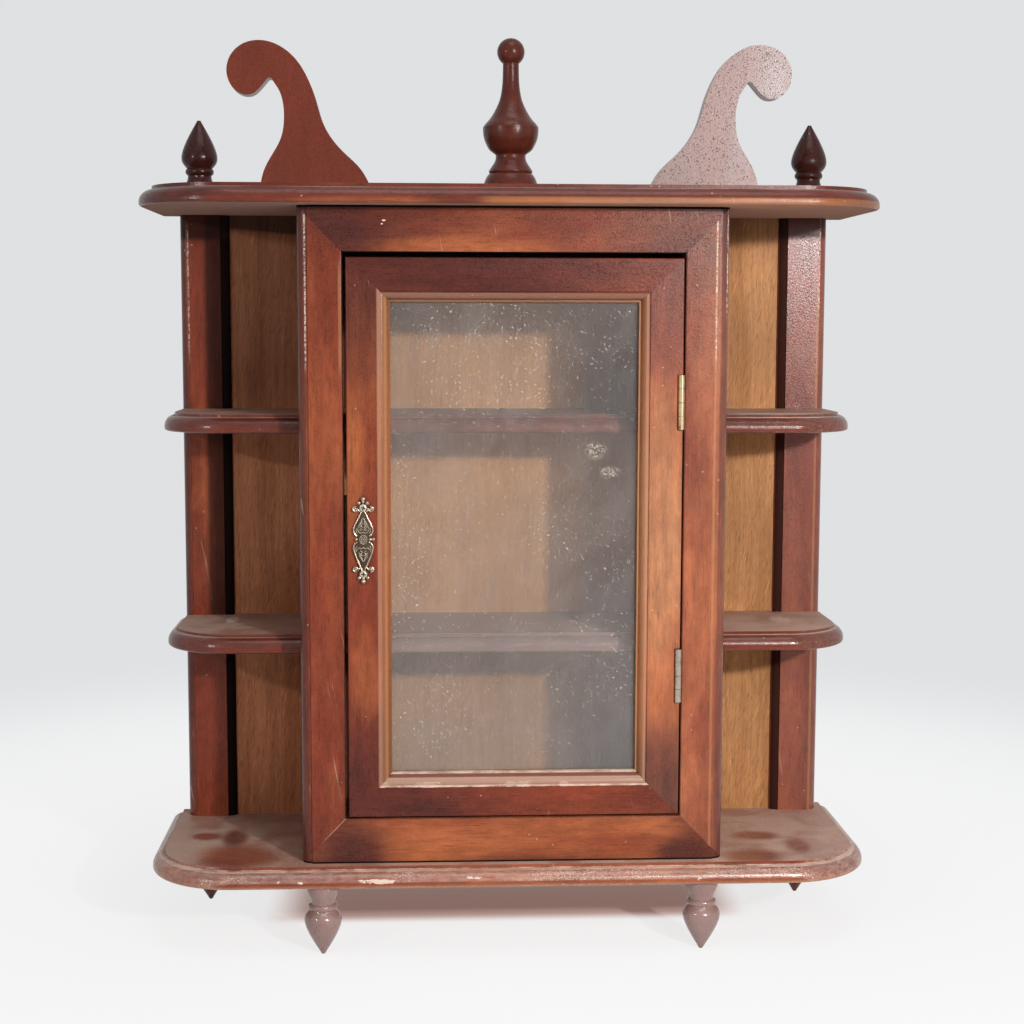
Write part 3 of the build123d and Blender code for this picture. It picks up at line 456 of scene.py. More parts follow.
def specks_and_scratches(tree, place, patches, shift):
    """Small pale specks and fine scratches in the lacquer."""
    cells = add(tree, "ShaderNodeTexVoronoi", {"Vector": place, "Scale": 240.0})
    lucky = ease(tree, split(tree, cells.outputs["Color"])[0], 0.90, 0.91)
    specks = product(tree, ease(tree, cells.outputs["Distance"], 0.12, 0.07), lucky, 0.7)
    threads = noise(tree, shift_scale(tree, place, (1.0, 1.0, 0.03), shift, -10), 520.0, 1.0)
    scratches = product(tree, ease(tree, threads, 0.735, 0.76),
                        ease(tree, patches, 0.48, 0.60, 0.0, 0.4))
    return largest(tree, specks, scratches)


def wear_and_glint_on_mouldings(tree, place, grain, curved):
    """Where mouldings turn pale, partly with wear and partly with painted glints: all along in
    part, and in flecks at some places.
    """
    rub = noise(tree, shift_scale(tree, place, along(grain, 0.35)), 420.0, 6.0, 0.7)
    flecks = noise(tree, shift_scale(tree, place, along(grain, 0.6)), 1500.0, 3.0, 0.7)
    slow = noise(tree, shift_scale(tree, place, along(grain, 0.5)), 45.0, 3.0, 0.6)
    places = ease(tree, slow, 0.44, 0.60)
    cover = calc(tree, "MULTIPLY_ADD", ease(tree, flecks, 0.52, 0.60), product(tree, places, 0.55),
                 ease(tree, rub, 0.30, 0.70, 0.06, 0.28))
    return product(tree, cover, curved)


def open_mitre(tree, place, corner, normal, reach):
    """A thin open joint through a corner, square to a normal in the front plane."""
    local = vector_calc(tree, "SUBTRACT", place, tuple(v * MM for v in corner))
    off = vector_calc(tree, "DOT_PRODUCT", local, Vector(normal).normalized())
    joint = ease(tree, calc(tree, "ABSOLUTE", off), 0.26 * MM, 0.08 * MM, 0.0, 0.7)
    return product(tree, joint, near(tree, place, corner, (reach, 1000, reach)))


def chipped(tree, place, low, high, places):
    """Ragged chips in a band between two heights, most of all at the given places."""
    ragged = noise(tree, shift_scale(tree, place, along("X", 0.5)), 700.0, 4.0, 0.7)
    weight = ease(tree, noise(tree, place, 60.0, 2.0), 0.50, 0.80, 0.0, 0.05)
    for centre, reach in places:
        weight = calc(tree, "MULTIPLY_ADD", near(tree, place, centre, reach), 0.30, weight)
    chips = ease(tree, calc(tree, "ADD", ragged, weight), 0.72, 0.76)
    return product(tree, chips, band(tree, split(tree, place)[2], low, high, 0.4))


def drawn_line(tree, place, breaks, axis, low, high, tone, *limits):
    """How strongly a line or band of LINES is painted."""
    across, _, height = split(tree, place)
    level, other = height, across
    if axis == "X":
        level, other = calc(tree, "ABSOLUTE", across), height
    _, share, broken, soft = LINE_TONES[tone]
    line = product(tree, band(tree, level, low, high, soft), share)
    if limits:
        line = product(tree, line, band(tree, other, *limits, LINE_ENDS))
    if broken:
        line = product(tree, line, breaks[broken])
    return line


def dust_film(tree, place, bent, level, wiped):
    """How thickly dust lies on what faces up, and where it has been wiped."""
    cover = ease(tree, noise(tree, place, 34.0, 6.0, 0.65, 0.5), 0.36, 0.62, 0.50, 0.88)
    for centre, reach in wiped:
        swept = near(tree, bent, centre, reach)
        cover = product(tree, cover, calc(tree, "MULTIPLY_ADD", swept, -0.8, 1.0))
    return product(tree, level, cover)


def stained_wood(name, grain, warmth, dark_from=None, dark_to=None, middle=0.0, spots=(), seed=0.0,
                 deep=0.0, pooled=0.1, calm=0.0, upper=1.0, bloom=0.0, dull=0.0, shine=1.0,
                 relief=1.0, pitted=0.0, speckle=0.0, mitres=(), chips=(), lines=(), under=0.0,
                 dusty=False, wiped=(), caked=()):
    """Wood under a reddish-brown stain and satin lacquer; places and levels are in mm.

    The stain: grain is the axis of the fibres and warmth the share of thin, warm stain. The ends
    darken from dark_from to dark_to off a middle. spots are places of another tone, deep is the
    share of dark stain all over and pooled that on mouldings. calm takes figure and grain away,
    upper is the brightness left at the top, as painted shade, and bloom a milky veil that is partly
    painted sheen.
    The lacquer: dull adds to its roughness, shine scales its reflection and relief its orange
    peel, and pitted darkens its pits.
    Wear and painted light: speckle pales the mouldings with wear and painted glints, mitres, chips
    and lines are rows as in MITRES, CHIPS and LINES, many lines being painted shade and painted
    highlights, under paints bounce light onto undersides and takes their reflection away, and a
    dusty piece has dust on what faces up, less of it where wiped and more where caked, made
    brighter towards the right by painted light."""
    finish = bpy.context.scene.case_finish
    made, tree, output = new_material(name)
    place = coords(tree)
    bent = wandering(tree, place, 9.0, 0.007)
    shift = (seed * 0.37, seed * 0.53, seed * 0.71)

    def grained(vector, share, *pattern):
        return noise(tree, shift_scale(tree, vector, along(grain, share), shift), *pattern)

    # stain: slow patches, pools, broad figure, fine fibres and short dark pores
    patches = grained(bent, 0.35, 22.0, 5.0, 0.62, 0.3)
    figure = grained(bent, 0.10, 130.0, 4.0, 0.6)
    fibres = grained(bent, 0.03, 1500.0, 3.0, 0.7)
    pores = grained(bent, 0.0004 / finish.pore_length, 2300.0, 1.0)
    mottle = grained(place, 0.4, 190.0, 6.0, 0.75)
    pools = grained(bent, 0.3, 34.0, 4.0, 0.6)

    warm = ease(tree, patches, 0.50 - warmth * 0.40, 0.92 - warmth * 0.40)
    colour = mix(tree, warm, finish.red_stain, finish.warm_stain)
    pool = ease(tree, pools, 0.50, 0.80, deep, min(deep + 0.34, 1.0))
    colour = mix(tree, pool, colour, finish.dark_stain)
    if dark_to is not None:
        axis = split(tree, place)["XYZ".index(grain)]
        away = calc(tree, "ABSOLUTE", calc(tree, "SUBTRACT", axis, middle * MM))
        ragged = calc(tree, "MULTIPLY_ADD", patches, 0.05, away)
        ends = ease(tree, ragged, (dark_from + 22) * MM, (dark_to + 28) * MM, 0.0, 0.75)
        colour = mix(tree, ends, colour, finish.dark_stain)
    tones = {"warm": finish.warm_stain, "red": finish.red_stain, "dark": finish.dark_stain,
             "honey": HONEY_STAIN}
    for tone, centre, reach in spots:
        spread = product(tree, near(tree, bent, centre, reach),
                         ease(tree, patches, 0.3, 0.6, 0.45, 0.85))
        colour = mix(tree, spread, colour, tones[tone])
    curved = moulded(tree)
    colour = mix(tree, product(tree, curved, pooled), colour, finish.dark_stain)
    plain = colour
    for pattern, low, high, start, end in ((figure, 0.3, 0.7, 0.86, 1.12),
                                           (mottle, 0.32, 0.68, 0.80, 1.14),
                                           (fibres, 0.25, 0.75, 0.91, 1.08),
                                           (pores, 0.60, 0.72, 1.0, 0.70)):
        colour = shade(tree, colour, ease(tree, pattern, low, high, start, end))
    if calm:
        colour = mix(tree, calm, colour, plain)
    # painted shade: darker towards the top
    if upper < 1:
        height = split(tree, place)[2]
        colour = shade(tree, colour, ease(tree, height, 0.20, 0.36, 1.0, upper))
    # a milky veil, partly painted sheen
    if bloom:
        veil = ease(tree, patches, 0.35, 0.65, bloom * 0.7, bloom)
        colour = mix(tree, veil, colour, MILKY_VEIL_AND_SHEEN)

    # lacquer: duller in patches, with pits that hardly reflect
    rough = ease(tree, patches, 0.3, 0.7, finish.gloss - 0.04 + dull, finish.gloss + 0.08 + dull)
    rough = ease(tree, curved, 0.0, 1.0, rough, 0.25 + dull)
    sunk = 0.575 if pitted else 0.54
    pits = ease(tree, noise(tree, place, 1500.0, 2.0, 0.6), sunk, sunk + 0.08)
    if pitted:
        colour = shade(tree, colour, ease(tree, pits, 0.0, 1.0, 1.0, 1.0 - pitted))
    bright = finish.sheen * shine
    glint = product(tree, ease(tree, pits, 0.0, 1.0, bright, bright * 0.15),
                    ease(tree, curved, 0.0, 1.0, 1.0, 1.5))

    # wear
    colour = mix(tree, specks_and_scratches(tree, place, patches, shift), colour,
                 tuple(0.5 * (a + b) for a, b in zip(finish.bare_wood, finish.dust)))
    # pale flecks on mouldings: partly wear, partly painted glints
    if speckle:
        rub_and_glint = product(tree, wear_and_glint_on_mouldings(tree, place, grain, curved), speckle)
        colour = mix(tree, rub_and_glint, colour, PALE_WEAR_AND_GLINT)
    for corner, normal, tone, reach in mitres:
        colour = mix(tree, open_mitre(tree, place, corner, normal, reach), colour,
                     LINE_TONES[tone][0])
    for chip in chips:
        worn = chipped(tree, place, *chip)
        colour = mix(tree, worn, colour, WORN_WOOD)
        rough = largest(tree, rough, product(tree, worn, 0.75))
    breaks = {"mottle": ease(tree, mottle, 0.38, 0.60),
              "crumbs": ease(tree, noise(tree, place, 700.0, 5.0, 0.8), 0.44, 0.56)}
    for row in lines:
        line = drawn_line(tree, place, breaks, *row)
        tone = row[3]
        colour = mix(tree, line, colour, LINE_TONES[tone][0])
        if tone in PAINTED_SHADE_TONES:
            glint = product(tree, glint, calc(tree, "SUBTRACT", 1.0, line))
    # painted bounce light on undersides, which also lose their reflection
    if under:
        down = ease(tree, facing(tree)[2], -0.90, -0.99)
        colour = mix(tree, product(tree, down, under), colour, PAINTED_BOUNCE_UNDERSIDE)
        glint = product(tree, glint, calc(tree, "SUBTRACT", 1.0, down))
    if dusty:
        level = ease(tree, facing(tree)[2], 0.90, 0.99)
        film = dust_film(tree, place, bent, level, wiped)
        grit = ease(tree, noise(tree, place, 1900.0, 2.0), 0.35, 0.75, 0.8, 1.15)
        # painted light: the dust brightens towards the right
        painted_light_right = ease(tree, split(tree, place)[0], -0.02, 0.15, 1.0, 1.35)
        colour = mix(tree, film, colour,
                     shade(tree, tuple(finish.dust), product(tree, grit, painted_light_right)))
        for centre, reach in caked:
            patch = product(tree, level, near(tree, place, centre, reach),
                            ease(tree, grit, 0.9, 1.0, 0.75, 1.0))
            colour = mix(tree, patch, colour, CAKED_DUST)
        rough = largest(tree, rough, product(tree, film, 0.85))

    peel = noise(tree, place, 1050.0, 2.0, 0.6)
    skin = bump(tree, peel, finish.peel * relief)
    wood = bump(tree, fibres, finish.peel * relief * 0.35, skin)
    principled(tree, output, {"Base Color": colour, "Roughness": rough, "Normal": wood,
                              "Specular IOR Level": glint})
    return made


def plywood_finish():
    """Open-pored plywood: dull stain in front, bare behind, with painted shade and painted shadows
    in places.
    """
    finish = bpy.context.scene.case_finish
    made, tree, output = new_material("Stained plywood")
    place = coords(tree)
    bent = wandering(tree, place, 7.0, 0.012)
    bands = noise(tree, shift_scale(tree, bent, along("Z", 0.05)), 65.0, 5.0, 0.65)
    streaks = noise(tree, shift_scale(tree, bent, along("Z", 0.035)), 620.0, 3.0, 0.65)
    pores = noise(tree, shift_scale(tree, bent, along("Z", 0.07), lean=9), 2300.0)
    flecks = noise(tree, shift_scale(tree, bent, along("Z", 0.12), lean=14), 1000.0)
    clouds = noise(tree, place, 14.0, 3.0, 0.55)
    colour = mix(tree, ease(tree, bands, 0.32, 0.66), tinted(finish.plywood, (0.70, 0.64, 0.58)),
                 finish.plywood)
    for pattern, low, high, start, end in ((clouds, 0.3, 0.7, 0.86, 1.10),
                                           (streaks, 0.3, 0.7, 0.88, 1.12),
                                           (pores, 0.55, 0.66, 1.0, 0.66),
                                           (flecks, 0.60, 0.70, 1.0, 1.28)):
        colour = shade(tree, colour, ease(tree, pattern, low, high, start, end))

    # the left wing is redder and darker, and the cupboard's back paler and calmer
    across, _, level = split(tree, place)
    left = ease(tree, across, -0.09, -0.11)
    redder = mix(tree, 1.0, colour, (1.17, 0.96, 1.25), "MULTIPLY")
    colour = mix(tree, product(tree, left, 0.8), colour, redder)
    colour = shade(tree, colour, ease(tree, product(tree, left, level), 0.26, 0.30, 1.0, 0.66))
    wide = calc(tree, "ABSOLUTE", across)
    pale = shade(tree, tuple(finish.plywood), ease(tree, clouds, 0.3, 0.7, 1.45, 1.85))
    calm = mix(tree, 0.42, shade(tree, colour, 1.22), pale)
    colour = mix(tree, ease(tree, wide, 0.085, 0.080), colour, calm)

    # painted shade along the cupboard's sides, except in a band at middle height, painted shadow of
    # the top board on the wing panels, and painted shade at the cupboard's top
    between = product(tree, band(tree, level, 165.0, 235.0, 6.0), 0.7)
    edge = product(tree, band(tree, wide, 84.0, 108.0, 3.0), calc(tree, "SUBTRACT", 1.0, between))
    colour = mix(tree, edge, colour, finish.dark_stain)
    # painted shadow of the top board on the wing panels, sloping on the left
    sloping = calc(tree, "MULTIPLY_ADD", across, 0.09, level)
    left_top_shadow = shade(tree, WHITE, ease(tree, sloping, 0.3590, 0.3615, 1.0, 0.22))
    right_top_shadow = shade(tree, WHITE, ease(tree, level, 0.362, 0.374, 1.03, 0.50))
    wing_top_shadows = mix(tree, left, right_top_shadow, left_top_shadow)
    top_board_shadows = mix(tree, ease(tree, wide, 0.09, 0.11), WHITE, wing_top_shadows)
    colour = mix(tree, 1.0, colour, top_board_shadows, "MULTIPLY")
    # painted shade at the top of the cupboard, behind the face frame's top rail
    head = product(tree, ease(tree, wide, 0.108, 0.106), band(tree, level, 353.0, 400.0, 2.0))
    colour = mix(tree, head, colour, LINE_TONES["black"][0])

    bare = shade(tree, tuple(finish.bare_wood), ease(tree, streaks, 0.25, 0.75, 0.82, 1.05))
    colour = mix(tree, ease(tree, facing(tree)[1], 0.4, 0.8), colour, bare)
    principled(tree, output, {"Base Color": colour, "Normal": bump(tree, pores, 0.00010),
                              "Roughness": ease(tree, bands, 0.3, 0.7, 0.62, 0.5),
                              "Specular IOR Level": 0.15})
    return made


def bare_finish():
    """Pale unfinished softwood of the door stop and the dowels."""
    finish = bpy.context.scene.case_finish
    made, tree, output = new_material("Bare softwood")
    place = coords(tree)
    rings = noise(tree, shift_scale(tree, place, along("Z", 0.04)), 300.0, 3.0, 0.6)
    fibres = noise(tree, shift_scale(tree, place, along("Z", 0.02)), 1600.0, 2.0, 0.6)
    colour = mix(tree, ease(tree, rings, 0.35, 0.7), finish.bare_wood,
                 tinted(finish.bare_wood, (0.62, 0.62, 0.62)))
    colour = shade(tree, colour, ease(tree, fibres, 0.3, 0.7, 0.85, 1.08))
    principled(tree, output, {"Base Color": colour, "Normal": bump(tree, fibres, 0.00004),
                              "Roughness": ease(tree, fibres, 0.3, 0.7, 0.6, 0.75)})
    return made


# ---------------------------------------------------------------- glass and metal
FILM_GREY = (0.69, 0.635, 0.615)
LINT_WHITE = (0.97, 0.86, 0.71)
SCUFFS = [((42, -37, 258.5), (8, 40, 7)), ((49, -37, 247.5), (8, 40, 4.5))]


def dusty_glass():
    """Window glass with a grey film of dust, scattered lint, hairs and two scuffs."""
    made, tree, output = new_material("Dusty window glass")
    place = coords(tree)
    clear = add(tree, "ShaderNodeBsdfTransparent", {"Color": (0.95, 0.965, 0.96, 1)})
    gloss = add(tree, "ShaderNodeBsdfGlossy", {"Color": (0.9, 0.9, 0.9, 1), "Roughness": 0.05})
    mirror = add(tree, "ShaderNodeFresnel", {"IOR": 1.45}).outputs["Fac"]
    pane = add(tree, "ShaderNodeMixShader", {0: mirror, 1: clear.outputs[0], 2: gloss.outputs[0]})

    # the film: clouds, smears from wiping, and more of it at the bottom of the pane
    low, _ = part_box("glass_pane")
    clouds = ease(tree, noise(tree, place, 16.0, 6.0, 0.62, 1.6), 0.3, 0.7, 0.051, 0.091)
    wiping = noise(tree, shift_scale(tree, place, along("Z", 0.45), lean=24), 70.0, 4.0, 0.6, 1.2)
    smears = ease(tree, wiping, 0.42, 0.68, 0.0, 0.028)
    settled = ease(tree, split(tree, place)[2], low.z + 0.20, low.z, 0.0, 0.045)
    film = calc(tree, "ADD", calc(tree, "ADD", clouds, smears), settled)

    # lint and hairs, crowded in places
    crowd = ease(tree, noise(tree, place, 16.0), 0.42, 0.62)
    strewn = add(tree, "ShaderNodeMapping", {"Vector": wandering(tree, place, 150.0, 0.006),
                                             "Rotation": (math.radians(90), 0, 0)})
    cells = add(tree, "ShaderNodeTexVoronoi", {"Vector": strewn.outputs["Vector"], "Scale": 420.0},
                voronoi_dimensions="2D")
    lint = product(tree, ease(tree, cells.outputs["Distance"], 0.15, 0.07),
                   ease(tree, split(tree, cells.outputs["Color"])[0], 0.73, 0.75),
                   calc(tree, "MULTIPLY_ADD", crowd, 0.28, 0.32))
    wisps = noise(tree, shift_scale(tree, place, along("Z", 0.16), lean=50), 1300.0, 2.0, 0.5, 1.2)
    others = noise(tree, shift_scale(tree, place, along("Z", 0.16), (3, 0, 1), -40), 1200.0, 2.0,
                   0.5, 1.2)
    hairs = product(tree, largest(tree, ease(tree, wisps, 0.71, 0.75),
                                  ease(tree, others, 0.71, 0.75)), crowd, 0.70)
    scuffed = largest(tree, *(near(tree, place, centre, reach) for centre, reach in SCUFFS))
    scuffs = product(tree, ease(tree, noise(tree, place, 1300.0, 3.0, 0.8), 0.545, 0.62), scuffed,
                     0.85)

    bits = largest(tree, lint, hairs, scuffs)
    grey = mix(tree, bits, FILM_GREY, LINT_WHITE)
    dust = add(tree, "ShaderNodeBsdfDiffuse", {"Color": grey, "Roughness": 1.0})
    final = add(tree, "ShaderNodeMixShader", {0: largest(tree, bits, film), 1: pane.outputs[0],
                                              2: dust.outputs[0]})
    tree.links.new(final.outputs[0], output.inputs["Surface"])
    return made


def cross_slot(tree, place, cx, cz, arm):
    """The turned cross slot of a screw's head, from its centre and arm in mm."""
    local = vector_calc(tree, "SUBTRACT", place, (cx * MM, 0, cz * MM))
    turned = split(tree, shift_scale(tree, local, (1, 1, 1), lean=12))
    bars = [calc(tree, "ABSOLUTE", turned[0]), calc(tree, "ABSOLUTE", turned[2])]
    return largest(tree, *(product(tree, ease(tree, across, 0.36 * MM, 0.20 * MM),
                                   ease(tree, length, (arm + 0.1) * MM, arm * MM))
                           for across, length in (bars, bars[::-1])))


def aged_metal(name, bright, grime, rough, share=0.5, scale=700.0, depth=None, crosses=()):
    """A metal with grime in patches and in its hollows where a depth range along Y is given, and
    the cross slots of screws painted dark in the grime's colour as their shade."""
    made, tree, output = new_material(name)
    place = coords(tree)
    patches = noise(tree, place, scale, 4.0, 0.65)
    grime_and_slot_shade = ease(tree, patches, share - 0.12, share + 0.18)
    if depth:
        hollow = ease(tree, split(tree, place)[1], depth[0], depth[1])
        grime_and_slot_shade = largest(tree, product(tree, grime_and_slot_shade, 0.55), hollow)
    # a dark cross painted in each screw's slot as the slot's shade
    for cross in crosses:
        grime_and_slot_shade = largest(tree, grime_and_slot_shade, cross_slot(tree, place, *cross))
    principled(tree, output, {"Base Color": mix(tree, grime_and_slot_shade, bright, grime), "Metallic": 1.0,
                              "Roughness": ease(tree, grime_and_slot_shade, 0.0, 1.0, rough, rough + 0.3),
                              "Normal": bump(tree, patches, 0.00003)})
    return made


# ---------------------------------------------------------------- modelling helpers
def deselect():
    bpy.ops.object.select_all(action="DESELECT")


def active():
    return bpy.context.view_layer.objects.active


def edit(mode):
    bpy.ops.object.mode_set(mode="EDIT")
    bpy.ops.mesh.select_mode(type=mode)
    bpy.ops.mesh.select_all(action="SELECT")


def extrude(step):
    bpy.ops.mesh.extrude_region_move(
        TRANSFORM_OT_translate={"value": step, "orient_type": "GLOBAL"})


def finished():
    """Turns all faces outwards and leaves edit mode."""
    bpy.ops.mesh.select_all(action="SELECT")
    bpy.ops.mesh.normals_make_consistent(inside=False)
    bpy.ops.object.mode_set(mode="OBJECT")
    return active()


def rounded_path(points, steps=4):
    """Points on a smooth curve through the given points."""
    path = []
    last = len(points) - 1
    for n in range(last):
        a, b, c, d = (Vector(points[min(max(k, 0), last)]) for k in (n - 1, n, n + 1, n + 2))
        for step in range(steps):
            t = step / steps
            path.append(0.5 * (2 * b + (c - a) * t + (2 * a - 5 * b + 4 * c - d) * t * t
                               + (3 * b - a - 3 * c + d) * t ** 3))
    path.append(Vector(points[last]))
    return path


def wire(path, radius, sides=8):
    """A round wire in the front plane: a disc extruded from point to point and turned at each."""
    def heading(n):
        before = path[max(n, 1)] - path[max(n, 1) - 1]
        after = path[min(n + 1, len(path) - 1)] - path[min(n, len(path) - 2)]
        whole = before.normalized() + after.normalized()
        return math.atan2(whole.x, whole.z)
    deselect()
    bpy.ops.mesh.primitive_circle_add(vertices=sides, radius=radius, fill_type="NGON",
                                      location=path[0], rotation=(0, heading(0), 0))
    edit("FACE")
    for n in range(1, len(path)):
        extrude(path[n] - path[n - 1])
        angle = heading(n) - heading(n - 1)
        angle = (angle + math.pi) % (2 * math.pi) - math.pi
        if abs(angle) > 1e-5:
            bpy.ops.transform.rotate(value=-angle, orient_axis="Y", orient_type="GLOBAL",
                                     center_override=path[n])
    return finished()


def plate(outline, front, thickness, edge):
    """A flat plate in the front plane: its outline is drawn vertex by vertex, filled, extruded
    forwards and bevelled."""
    deselect()
    first = outline[0]
    bpy.ops.mesh.primitive_circle_add(vertices=3, radius=0.0001, fill_type="NOTHING",
                                      location=(first[0], front + thickness, first[1]))
    edit("VERT")
    bpy.ops.mesh.merge(type="CENTER")
    for before, after in zip(outline, outline[1:]):
        extrude((after[0] - before[0], 0, after[1] - before[1]))
    bpy.ops.mesh.select_all(action="SELECT")
    bpy.ops.mesh.edge_face_add()
    bpy.ops.mesh.select_mode(type="FACE")
    bpy.ops.mesh.select_all(action="SELECT")
    extrude((0, -thickness, 0))
    bpy.ops.mesh.bevel(offset=edge, segments=2, affect="EDGES")
    return finished()


def bead(centre, size, cuts=2):
    """A cast bead: a small cube subdivided to a ball and pressed to size."""
    deselect()
    bpy.ops.mesh.primitive_cube_add(size=1.0, location=centre)
    edit("VERT")
    bpy.ops.mesh.subdivide(number_cuts=cuts, smoothness=0)
    bpy.ops.transform.tosphere(value=1.0, center_override=centre)
    bpy.ops.object.mode_set(mode="OBJECT")
    made = active()
    made.scale = tuple(s * 1.35 for s in size)
    bpy.ops.object.transform_apply(location=False, rotation=False, scale=True)
    return made


def joined(name, objects, smooth=40):
    """Joins objects into one piece that sits at the origin, smooth except at sharp edges."""
    deselect()
    for one in objects:
        one.select_set(True)
    bpy.context.view_layer.objects.active = objects[0]
    bpy.ops.object.join()
    bpy.ops.object.transform_apply(location=True, rotation=True, scale=True)
    bpy.ops.object.shade_smooth_by_angle(angle=math.radians(smooth))
    made = active()
    made.name = name
    made.data.name = name
    return made


# ---------------------------------------------------------------- operators
class THIMBLE_OT_stain(bpy.types.Operator):
    """Stains and lacquers the wooden pieces"""

    bl_idname = "thimble.stain"
    bl_label = "Stain the wood"

    def execute(self, context):
        def stain(names, label, grain, warmth, **options):
            coat(names, stained_wood("Stain " + label, grain, warmth, **options))

        def marks(name):
            return {"spots": SPOTS.get(name, ()), "mitres": MITRES.get(name, ()),
                    "chips": CHIPS.get(name, ()), "lines": LINES.get(name, ())}

        # frame and door members get painted shade towards the top, and the right-hand ones a faint
        # milky veil, partly painted sheen
        for n, (name, (grain, warmth, dark_from, dark_to, middle)) in enumerate(STAINED.items()):
            stain([name], name.replace("_", " "), grain, warmth, dark_from=dark_from,
                  dark_to=dark_to, middle=middle, seed=n + 1.0, upper=0.82,
                  bloom=0.03 if "right" in name else 0.0,
                  pooled=0.6 if "frame" in name else 0.1, **marks(name))
        # the top board's underside gets painted bounce light
        stain(["top_board"], "top board", "X", 0.2, seed=11, deep=0.5, pooled=0.3, under=0.6,
              dusty=True, **marks("top_board"))
        # the bottom board's moulded edge is flecked with wear and painted glints
        stain(["bottom_board"], "bottom board", "X", 0.30, seed=12, shine=2.0, speckle=1.0,
              dusty=True, wiped=WIPED, **marks("bottom_board"))
        # the right wing shelves' edges get a few pale flecks, partly painted glints
        for n, side in enumerate(("left", "right")):
            stain([f"{side}_wing_shelf_lower", f"{side}_wing_shelf_upper"], f"{side} wing shelves",
                  "X", 0.1, seed=13 + n, deep=0.35, pooled=0.4, shine=1.3 - 0.2 * n,
                  dull=-0.06 * n, speckle=0.2 * n, dusty=True, caked=CAKED,
                  **marks("wing_shelves"))
        for n, level in enumerate(("upper", "lower")):
            stain(["inner_shelf_" + level], f"{level} inner shelf", "X", 0.1, seed=15, deep=0.2,
                  bloom=0.30 * n, dusty=True)
        stain(["left_upright"], "left upright", "Z", 0.1, seed=16, deep=0.1, pooled=0.6,
              **marks("left_upright"))
        # the right upright's milky veil is partly painted sheen
        stain(["right_upright"], "right upright", "Z", 0.1, seed=21, shine=1.7, dull=-0.04,
              bloom=0.035, **marks("right_upright"))
        stain(["left_case_side", "right_case_side"], "case sides", "Z", 0.15, seed=17, deep=0.3)
        stain(["left_scroll"], "left scroll", "Z", 0.0, seed=18, deep=0.45, calm=0.7)
        # the right scroll's milky veil is partly painted sheen
        stain(["right_scroll"], "right scroll", "Z", 0.0, seed=24, deep=0.55, calm=0.4, bloom=0.13,
              shine=2.3, dull=0.06, relief=0.75, pitted=0.6)
        stain(["centre_finial", "rear_left_drop", "rear_right_drop"], "turnings", "Z", 0.0,
              seed=19, deep=0.34, calm=0.3, upper=0.60, shine=0.75, relief=0.5)
        stain(["left_corner_finial", "right_corner_finial"], "corner finials", "Z", 0.0, seed=22,
              deep=0.95, calm=0.5, upper=0.45, shine=0.7, dull=-0.02, relief=0.6)
        # the front drops' milky veil is partly painted sheen
        stain(["front_left_drop", "front_right_drop"], "front drops", "Z", 0.0, seed=23, deep=0.45,
              calm=0.6, bloom=0.27, shine=2.5, dull=-0.05, relief=0.6)
        beads = [name for name in NODES if name.startswith("glazing_bead")]
        stain(beads, "glazing beads", "Z", 0.3, seed=20)
        return {"FINISHED"}


class THIMBLE_OT_back(bpy.types.Operator):
    """Finishes the plywood back and the bare wood"""

    bl_idname = "thimble.back"
    bl_label = "Finish the back"

    def execute(self, context):
        coat(["back_panel"], plywood_finish())
        coat(["door_stop", "shelf_dowels", "board_dowels", "scroll_dowels"], bare_finish())
        return {"FINISHED"}


class THIMBLE_OT_glass(bpy.types.Operator):
    """Gives the door its dusty pane"""

    bl_idname = "thimble.glass"
    bl_label = "Glaze the door"

    def execute(self, context):
        coat(["glass_pane"], dusty_glass())
        return {"FINISHED"}


class THIMBLE_OT_fittings(bpy.types.Operator):
    """Finishes hinges, screws, pins, magnet and hangers"""

    bl_idname = "thimble.fittings"
    bl_label = "Finish the fittings"

    def execute(self, context):
        low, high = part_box("pull_screws")
        head = (high.x - low.x) / 2 / MM
        middle = (high.x + low.x) / 2 / MM
        crosses = [(middle, level, head * 0.55)
                   for level in (low.z / MM + head, high.z / MM - head)]
        brass = aged_metal("Worn brass plate", (0.66, 0.51, 0.30), (0.17, 0.11, 0.06), 0.24, 0.56,
                           260.0)
        dull_brass = aged_metal("Dull brass plate", (0.55, 0.47, 0.38), (0.20, 0.15, 0.11), 0.28,
                                0.56, 260.0)
        steel = aged_metal("Zinc steel", (0.58, 0.58, 0.56), (0.27, 0.25, 0.23), 0.38, 0.62)
        screw = aged_metal("Pull screw brass", (0.64, 0.55, 0.42), (0.055, 0.038, 0.025), 0.30,
                           0.66, 900.0, crosses=crosses)
        coat([name for name in NODES if name.startswith("upper_hinge")], brass)
        coat([name for name in NODES if name.startswith("lower_hinge")], dull_brass)
        coat(["hinge_frame_screws", "hinge_door_screws"], brass)
        coat(["pull_screws"], screw)
        coat(["strike_plate", "strike_screw", "catch_magnet", "left_hanger", "right_hanger",
              "hanger_screws", "panel_pins", "base_screws", "glazing_brads"], steel)
        return {"FINISHED"}


